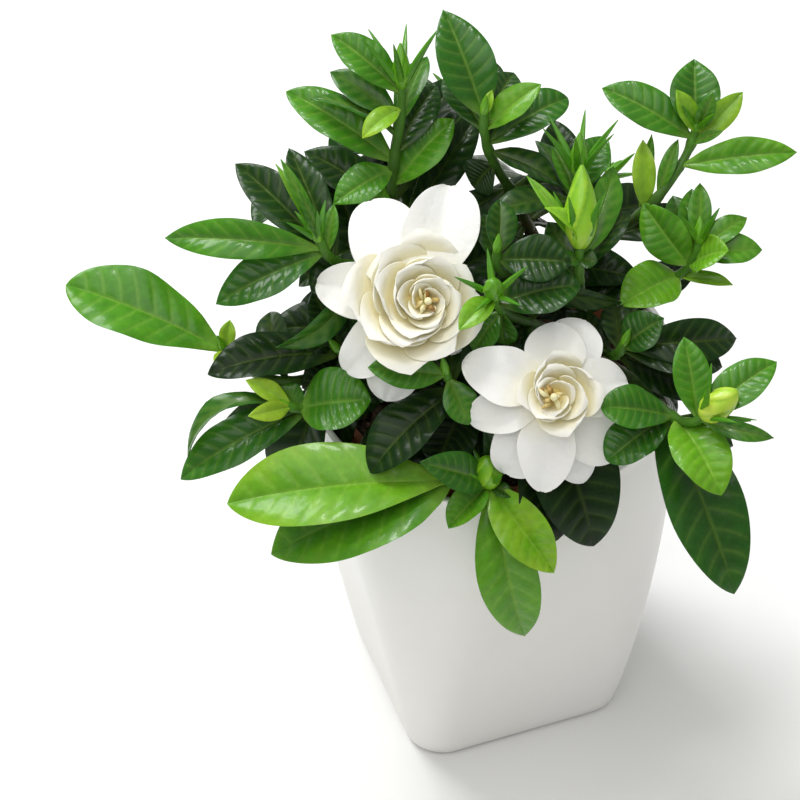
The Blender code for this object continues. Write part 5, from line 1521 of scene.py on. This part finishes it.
def add_wood(shape, line, radii, looks, draw):
    """A length of wood, with slow bumps along and round it."""
    along = np.linspace(0.0, 1.0, len(radii))[:, None]
    around = 2.0 * np.pi * np.arange(WOOD_ROUND_SIDES)[None, :] / WOOD_ROUND_SIDES
    bumps = sum(np.sin(k * 9.0 * along + draw.uniform(0, 6.3) + k * around) / k for k in (1, 2, 3))
    radii = radii[:, None] * (1.0 + WOOD_BUMPS * bumps)
    shape.add(*round_tube(line, radii, WOOD_ROUND_SIDES), looks)


def build_wood(name, cutting, paths, finish):
    """A cutting: its trunk, from inside the soil to its fork, and the woody foot of each of its shoots."""
    draw = random.Random(FINE_SEED + len(name))
    shape = Shape()
    points = trunk_points(cutting)
    trunk = smooth_path(points, UP, points[-1] - points[-2])
    girths = (TRUNK_RADIUS, TRUNK_RADIUS, 3.7, 3.3)
    radii = np.interp(np.linspace(0.0, 1.0, len(trunk)), (0.0, 0.35, 0.75, 1.0), girths)
    add_wood(shape, trunk, radii, PLAIN_LOOK, draw)
    for shoot, (path, _) in paths.items():
        if cutting_of(shoot) != name:
            continue
        line = part_of(path, 0.0, WOOD_SHARE + 0.01, 14)
        shares = np.linspace(0.0, 1.0, len(line))
        age = np.repeat(shares, WOOD_ROUND_SIDES)
        add_wood(shape, line, np.interp(shares, (0.0, 0.5, 1.0), WOOD_RADII), looks_of(age, age, age), draw)
    shape.finish("woody_stem_" + name, ["wood_" + name], "bark", [finish])


def arc(steps):
    """Pairs (1 - cos, sin) along a quarter of a circle, without its ends, for a rounded edge."""
    turns = [math.pi / 2 * i / steps for i in range(1, steps)]
    return [(1.0 - math.cos(turn), math.sin(turn)) for turn in turns]


def fine_pot_rings():
    """(half width, corner radius, height) up the outside of the pot, over its rim and down the inside."""
    rings = []
    half, corner = cover_pot_half(0.0)
    for inset, height in [(1.0, 0.0)] + [(1.0 - rise, run) for run, rise in arc(ROUNDING_STEPS)]:
        shrink = POT_FOOT_ROUND * inset
        rings.append((half - shrink, corner - shrink, POT_FOOT_ROUND * height))
    for height in np.linspace(POT_FOOT_ROUND, POT_HEIGHT - 1.1, FINE_WALL_RINGS):
        rings.append((*cover_pot_half(height / POT_HEIGHT), height))
    half, corner = cover_pot_half(1.0)
    for step in range(RIM_STEPS + 1):
        angle = math.pi * step / RIM_STEPS
        inset = POT_WALL * 0.5 * (1.0 - math.cos(angle))
        rings.append((half - inset, corner - inset, POT_HEIGHT - 1.0 + math.sin(angle)))
    for height in np.linspace(POT_HEIGHT - 1.2, POT_FLOOR, FINE_WALL_RINGS // 2):
        half, corner = cover_pot_half(height / POT_HEIGHT)
        rings.append((half - POT_WALL, corner - POT_WALL, height))
    return rings


def build_cover_pot(finish):
    rings = fine_pot_rings()
    outlines = [rounded_square(half, corner, FINE_CORNER_STEPS) for half, corner, _ in rings]
    shape = Shape()
    shape.add(*loft(outlines, [height for _, _, height in rings]))
    shape.finish("white_pot_wall", ["cover_pot"], "white_pot", [finish])


def build_nursery_pot(finish):
    """The thin-walled pot with its proud rim band."""
    foot = POT_FLOOR + GAP
    top = NURSERY_TOP
    band = top - NURSERY_RIM_HEIGHT
    mouth = NURSERY_MOUTH_RADIUS
    proud = nursery_radius(band) + NURSERY_RIM_PROUD
    outer = np.linspace(foot + 2 * NURSERY_ROUNDING, band, 12)
    inner = np.linspace(band - 4.0, foot + NURSERY_FLOOR, 10)
    profile = [
        (nursery_radius(foot) - NURSERY_ROUNDING, foot),
        (nursery_radius(foot), foot + NURSERY_ROUNDING),
        *[(nursery_radius(height), height) for height in outer],
        (proud - 0.3, band + 0.15),
        (proud, band + 0.6),
        (mouth, top - 1.2),
        (mouth - 0.2, top - 0.3),
        (mouth - 0.8, top),
        (mouth - 2.4, top),
        (mouth - 3.0, top - 0.4),
        (nursery_radius(band) - NURSERY_WALL, band),
        *[(nursery_radius(height) - NURSERY_WALL, height) for height in inner],
    ]
    shape = Shape()
    shape.add(*turned(profile, FINE_TURNED_SIDES))
    shape.finish("nursery_pot_wall", ["nursery_pot"], "terracotta_plastic", [finish])


def crumb(centre, size, draw):
    """A small lump of soil: an uneven ball."""
    line = [centre + Vector((0.0, 0.0, size * height)) for height in (-0.8, -0.4, 0.1, 0.5, 0.8)]
    girths = np.array([0.3, 0.85, 1.0, 0.75, 0.25])[:, None] * size
    uneven = np.array([[draw.uniform(0.7, 1.2) for _ in range(CRUMB_SIDES)] for _ in line])
    return round_tube(line, girths * uneven, CRUMB_SIDES)


def build_soil(finish):
    """Soil with a lumpy top and loose crumbs, which fills the nursery pot."""
    draw = random.Random(FINE_SEED)
    foot = POT_FLOOR + GAP + NURSERY_FLOOR + GAP
    fit = NURSERY_WALL + 2 * GAP
    edge = nursery_radius(SOIL_TOP) - fit
    profile = [(nursery_radius(foot) - fit, foot), (edge, SOIL_TOP - 2.0)]
    profile += [(edge * (1.0 - i / SOIL_RINGS) + 0.5, SOIL_TOP) for i in range(SOIL_RINGS)]
    points, faces = turned(profile, FINE_TURNED_SIDES)
    spans = ((0.1, 0.7), (0.0, 6.3), (0.0, 6.3))
    waves = [[draw.uniform(*span) for span in spans] for _ in range(SOIL_WAVES)]
    for point in points[2 * FINE_TURNED_SIDES:]:
        lumps = [
            SOIL_WAVE_HEIGHT * math.sin(pace * (point.x * math.cos(way) + point.y * math.sin(way)) + phase)
            for pace, way, phase in waves
        ]
        point.z += sum(lumps)
    shape = Shape()
    shape.add(points, faces)
    for _ in range(CRUMB_COUNT):
        turn = draw.uniform(0.0, 2.0 * math.pi)
        reach = (edge - 3.0) * math.sqrt(draw.random())
        size = draw.uniform(*CRUMB_SIZE)
        place = Vector((reach * math.cos(turn), reach * math.sin(turn), SOIL_TOP + draw.uniform(-0.3, 0.9)))
        shape.add(*crumb(place, size, draw), (1.0, draw.random(), 0.0))
    shape.finish("peat_soil", ["soil"], "potting_soil", [finish])


class Finish:
    """A material, and short calls that add nodes to it."""

    def __init__(self, name, **sockets):
        self.material = bpy.data.materials.new(name)
        self.material.use_nodes = True
        self.tree = self.material.node_tree
        self.shader = self.tree.nodes["Principled BSDF"]
        self.place = self.add("TexCoord").outputs["Object"]
        self.set(**sockets)

    def feed(self, socket, value):
        if isinstance(value, bpy.types.NodeSocket):
            self.tree.links.new(value, socket)
        elif isinstance(value, tuple) and len(value) == 3 and socket.type == "RGBA":
            socket.default_value = (*value, 1.0)
        else:
            socket.default_value = value

    def set(self, **sockets):
        """Feeds the shader's sockets, whose names are written with _ for each space."""
        for name, value in sockets.items():
            self.feed(self.shader.inputs[name.replace("_", " ")], value)

    def add(self, kind, settings=(), **sockets):
        made = self.tree.nodes.new("ShaderNode" + kind)
        for key, value in dict(settings).items():
            setattr(made, key, value)
        for name, value in sockets.items():
            self.feed(made.inputs[name], value)
        return made

    def look(self):
        """The three numbers kept at each point of the mesh."""
        made = self.add("Attribute", {"attribute_name": "look"})
        return self.add("SeparateXYZ", Vector=made.outputs["Vector"]).outputs

    def math(self, operation, first, second, clamp=False):
        made = self.add("Math", {"operation": operation, "use_clamp": clamp})
        self.feed(made.inputs[0], first)
        self.feed(made.inputs[1], second)
        return made.outputs[0]

    def plus(self, first, second, clamp=False):
        return self.math("ADD", first, second, clamp)

    def times(self, first, second):
        return self.math("MULTIPLY", first, second)

    def mix(self, factor, first, second, blend="MIX"):
        made = self.add("Mix", {"data_type": "RGBA", "blend_type": blend})
        self.feed(made.inputs[0], factor)
        self.feed(made.inputs[6], first)
        self.feed(made.inputs[7], second)
        return made.outputs[2]

    def noise(self, scale, detail=3.0, stretch=(1.0, 1.0, 1.0)):
        """Noise from 0 to 1, with scale in waves to the metre."""
        place = self.add("Mapping", Vector=self.place, Scale=stretch).outputs[0]
        return self.add("TexNoise", Vector=place, Scale=scale, Detail=detail).outputs["Fac"]

    def ramp(self, factor, stops):
        made = self.add("ValToRGB", Fac=factor)
        elements = made.color_ramp.elements
        while len(elements) < len(stops):
            elements.new(0.5)
        for element, (position, color) in zip(elements, stops):
            element.position = position
            element.color = (*color, 1.0)
        return made.outputs[0]

    def range(self, value, low, high, to_low, to_high):
        made = self.add("MapRange", Value=value)
        for name, number in zip(("From Min", "From Max", "To Min", "To Max"), (low, high, to_low, to_high)):
            made.inputs[name].default_value = number
        return made.outputs[0]

    def vary(self, scale, low, high, detail=3.0):
        """A number that wanders from low to high with the noise of a scale."""
        return self.range(self.noise(scale, detail), 0.3, 0.7, low, high)

    def bump(self, height, distance, strength):
        made = self.add("Bump", Height=height, Distance=distance, Strength=strength)
        self.set(Normal=made.outputs[0])


def leaf_finish():
    """Glossy leaves: near black when old, yellow-green when young, with pale veins and a dull underside. The
    near-black end is partly painted shade, the yellow-green end partly painted light through the leaf.
    """
    made = Finish("gardenia_leaf", Specular_IOR_Level=0.22, Coat_Weight=0.14, Coat_Roughness=0.1)
    vein, under, tone = made.look()
    # The tone ramp: the near-black end is old leaves' colour and painted shade deep in the crown; the
    # yellow-green end is young leaves' colour and painted light shining through them.
    green = made.ramp(made.plus(tone, made.vary(70.0, -0.05, 0.05)), [
        (0.0, (0.004, 0.014, 0.003)),
        (0.3, (0.012, 0.062, 0.006)),
        (0.5, (0.024, 0.13, 0.007)),
        (0.7, (0.065, 0.25, 0.009)),
        (0.85, (0.145, 0.38, 0.012)),
        (1.0, (0.34, 0.54, 0.03)),
    ])
    pale = made.mix(0.45, green, (0.36, 0.56, 0.09))
    veined = made.mix(made.times(vein, made.range(tone, 0.0, 0.8, 0.2, 0.85)), green, pale)
    dull = made.mix(0.5, green, (0.13, 0.26, 0.05))
    shade = made.range(made.noise(420.0, 2.0), 0.35, 0.75, 0.9, 1.1)
    flecks = made.add("CombineColor", Red=shade, Green=shade, Blue=shade).outputs[0]
    made.set(
        Base_Color=made.mix(1.0, made.mix(under, veined, dull), flecks, "MULTIPLY"),
        Roughness=made.plus(made.times(under, 0.22), made.vary(160.0, 0.25, 0.36)),
        Specular_IOR_Level=made.range(tone, 0.0, 0.3, 0.1, 0.24),
        Coat_Weight=made.range(tone, 0.0, 0.3, 0.06, 0.16),
    )
    made.bump(made.noise(650.0, 2.0), 0.00012, 0.6)
    return made.material


def stem_finish():
    """Green shoots, browner and corky towards the wood."""
    made = Finish("green_shoot", Specular_IOR_Level=0.4)
    color = made.ramp(made.plus(made.look()[0], made.vary(180.0, -0.2, 0.2)), [
        (0.0, (0.09, 0.075, 0.03)),
        (0.35, (0.04, 0.1, 0.01)),
        (1.0, (0.07, 0.22, 0.012)),
    ])
    made.set(Base_Color=color, Roughness=0.5)
    made.bump(made.noise(500.0, 4.0, (1.0, 1.0, 0.3)), 0.0003, 0.6)
    return made.material


def bud_finish():
    """Furled buds: green at the foot, paler and yellower along each petal's edge and towards the tip."""
    made = Finish("green_bud", Specular_IOR_Level=0.5, Coat_Weight=0.15, Coat_Roughness=0.2)
    across, along, tone = made.look()
    ripe = made.plus(made.times(across, 0.14), made.plus(tone, made.times(along, -0.1)))
    color = made.ramp(made.plus(ripe, made.vary(160.0, -0.06, 0.06)), [
        (0.4, (0.05, 0.2, 0.008)),
        (0.65, (0.13, 0.38, 0.01)),
        (0.85, (0.28, 0.56, 0.02)),
        (1.0, (0.5, 0.68, 0.06)),
    ])
    made.set(Base_Color=color, Roughness=made.vary(300.0, 0.3, 0.42))
    made.bump(made.noise(700.0, 2.0, (1.0, 1.0, 0.25)), 0.00015, 0.5)
    return made.material


def petal_finish():
    """Velvety white petals, cream towards their claws and in the heart of the bloom, partly their own cream
    and partly painted shade in the hollows, and its stamens.
    """
    made = Finish("gardenia_petal", Specular_IOR_Level=0.3, Subsurface_Weight=0.12, Subsurface_Scale=0.004)
    along, inner, shade = made.look()
    # Painted shade: cream laid into the bloom's hollows, below each rosette petal's lip and towards every
    # claw, partly the petals' own cream and partly the warm shade of the hollows.
    in_ring = made.range(inner, 0.0, 0.16, 0.0, 1.0)
    below_lip = made.range(along, 0.97, 0.55, 0.08, 0.62)
    deep = made.times(in_ring, made.plus(below_lip, made.times(inner, 0.12)))
    deep = made.plus(deep, made.range(along, 0.0, 0.5, 0.4, 0.0), clamp=True)
    white = made.ramp(made.plus(deep, made.vary(90.0, -0.06, 0.06), clamp=True), [
        (0.0, (0.985, 0.98, 0.945)),
        (0.3, (0.95, 0.92, 0.75)),
        (0.7, (0.88, 0.81, 0.5)),
        (1.0, (0.76, 0.6, 0.2)),
    ])
    brown = made.ramp(made.plus(shade, made.vary(400.0, -0.3, 0.3)), [
        (0.3, (0.9, 0.84, 0.5)),
        (0.7, (0.72, 0.55, 0.2)),
        (1.0, (0.3, 0.15, 0.04)),
    ])
    made.set(
        Base_Color=made.mix(made.range(inner, 1.5, 1.9, 0.0, 1.0), white, brown),
        Roughness=made.vary(200.0, 0.48, 0.6),
        Subsurface_Radius=(1.0, 0.8, 0.5),
    )
    made.bump(made.noise(300.0, 4.0), 0.0006, 0.6)
    return made.material


def bark_finish():
    """Grey-brown bark with cracks that run along the stem."""
    made = Finish("stem_bark", Specular_IOR_Level=0.25)
    grain = made.noise(260.0, 6.0, (1.0, 1.0, 0.22))
    color = made.ramp(grain, [
        (0.3, (0.05, 0.032, 0.018)),
        (0.5, (0.15, 0.1, 0.055)),
        (0.7, (0.3, 0.24, 0.15)),
    ])
    made.set(Base_Color=color, Roughness=made.range(grain, 0.3, 0.7, 0.9, 0.7))
    made.bump(grain, 0.0012, 0.9)
    return made.material


def white_pot_finish():
    """Satin white, with a fine grain and the faintest smudges."""
    made = Finish("satin_white", Specular_IOR_Level=0.45, Coat_Weight=0.1, Coat_Roughness=0.3)
    color = made.ramp(made.noise(14.0, 4.0), [
        (0.3, (0.86, 0.85, 0.81)),
        (0.7, (0.9, 0.895, 0.87)),
    ])
    made.set(Base_Color=color, Roughness=made.vary(60.0, 0.36, 0.48, 4.0))
    made.bump(made.noise(1200.0, 2.0), 0.00006, 0.5)
    return made.material


def terracotta_finish():
    """Matt terracotta-coloured plastic, dusty with soil."""
    made = Finish("nursery_plastic", Specular_IOR_Level=0.4)
    dust = made.noise(90.0, 5.0)
    color = made.ramp(dust, [
        (0.35, (0.32, 0.1, 0.045)),
        (0.6, (0.5, 0.17, 0.075)),
        (0.8, (0.55, 0.24, 0.12)),
    ])
    made.set(Base_Color=color, Roughness=made.range(dust, 0.3, 0.7, 0.45, 0.68))
    made.bump(made.noise(900.0, 2.0), 0.0001, 0.5)
    return made.material


def soil_finish():
    """Dark peat with paler fibres and bits of bark."""
    made = Finish("peat", Specular_IOR_Level=0.2, Roughness=0.93)
    crumbs = made.noise(340.0, 8.0)
    color = made.ramp(made.plus(crumbs, made.times(made.look()[1], 0.12)), [
        (0.3, (0.012, 0.008, 0.005)),
        (0.55, (0.05, 0.032, 0.018)),
        (0.75, (0.14, 0.09, 0.05)),
    ])
    made.set(Base_Color=color)
    made.bump(crumbs, 0.003, 1.0)
    return made.material


def floor_finish():
    made = Finish("pale_floor", Specular_IOR_Level=0.2, Roughness=0.8)
    color = made.ramp(made.noise(3.0), [(0.3, (0.93, 0.93, 0.925)), (0.7, (0.95, 0.95, 0.945))])
    made.set(Base_Color=color)
    return made.material


def place_object(name, data):
    placed = bpy.data.objects.new(name, data)
    bpy.context.scene.collection.objects.link(placed)
    return placed


def build_floor():
    mesh = bpy.data.meshes.new("floor")
    corners = [(-FLOOR_REACH, -FLOOR_REACH), (FLOOR_REACH, -FLOOR_REACH)]
    corners += [(FLOOR_REACH, FLOOR_REACH), (-FLOOR_REACH, FLOOR_REACH)]
    mesh.from_pydata([(x, y, -FLOOR_DROP) for x, y in corners], [], [(0, 1, 2, 3)])
    mesh.materials.append(floor_finish())
    floor = place_object("floor", mesh)


def build_light(name, box):
    """A square soft box, aimed at the plant."""
    place = VIEW_RIGHT * box.right + UP.cross(VIEW_RIGHT) * box.away + UP * box.up
    light = bpy.data.lights.new(name, "AREA")
    light.size = box.size
    light.energy = box.watts
    light.color = box.color
    holder = place_object(name, light)
    holder.location = place
    holder.rotation_euler = (LIT_POINT - place).to_track_quat("-Z", "Y").to_euler()


def build_sky():
    world = bpy.data.worlds.new("studio")
    world.use_nodes = True
    background = world.node_tree.nodes["Background"]
    background.inputs["Color"].default_value = (1.0, 1.0, 1.0, 1.0)
    background.inputs["Strength"].default_value = SKY_STRENGTH
    bpy.context.scene.world = world


def build_camera():
    camera = bpy.data.cameras.new("camera")
    camera.sensor_width = SENSOR_WIDTH
    camera.lens = SENSOR_WIDTH * VIEW_FOCAL_PIXELS / (2.0 * VIEW_MIDDLE_PIXEL)
    camera.clip_start = 0.1
    camera.clip_end = 20.0
    holder = place_object("camera", camera)
    turn = Matrix((VIEW_RIGHT, VIEW_UP, TO_EYE)).transposed()
    holder.matrix_world = Matrix.Translation(EYE * MM) @ turn.to_4x4()
    bpy.context.scene.camera = holder


def build_stage():
    build_floor()
    for name, box in SOFT_BOXES.items():
        build_light(name, box)
    build_sky()
    build_camera()
    bpy.context.scene.view_settings.view_transform = "Standard"


def build_shoots(paths, blades):
    finishes = [leaf_finish(), stem_finish(), bud_finish()]
    draw = random.Random(FINE_SEED)
    for name, (path, aim) in paths.items():
        shape = Shape()
        add_stem(shape, path, blades[name])
        add_shoot_end(shape, name, path, aim)
        for blade in blades[name]:
            add_leaf(shape, blade, draw)
        shape.finish(name.replace("shoot", "foliage", 1), [name], "leaf_green", finishes)


def build_object():
    paths, blades = plan_crown()
    build_shoots(paths, blades)
    petals = petal_finish()
    for name, bloom in BLOOMS.items():
        build_bloom(name, bloom, petals)
    bark = bark_finish()
    for name, cutting in CUTTINGS.items():
        build_wood(name, cutting, paths, bark)
    build_cover_pot(white_pot_finish())
    build_nursery_pot(terracotta_finish())
    build_soil(soil_finish())


build_object()
build_stage()
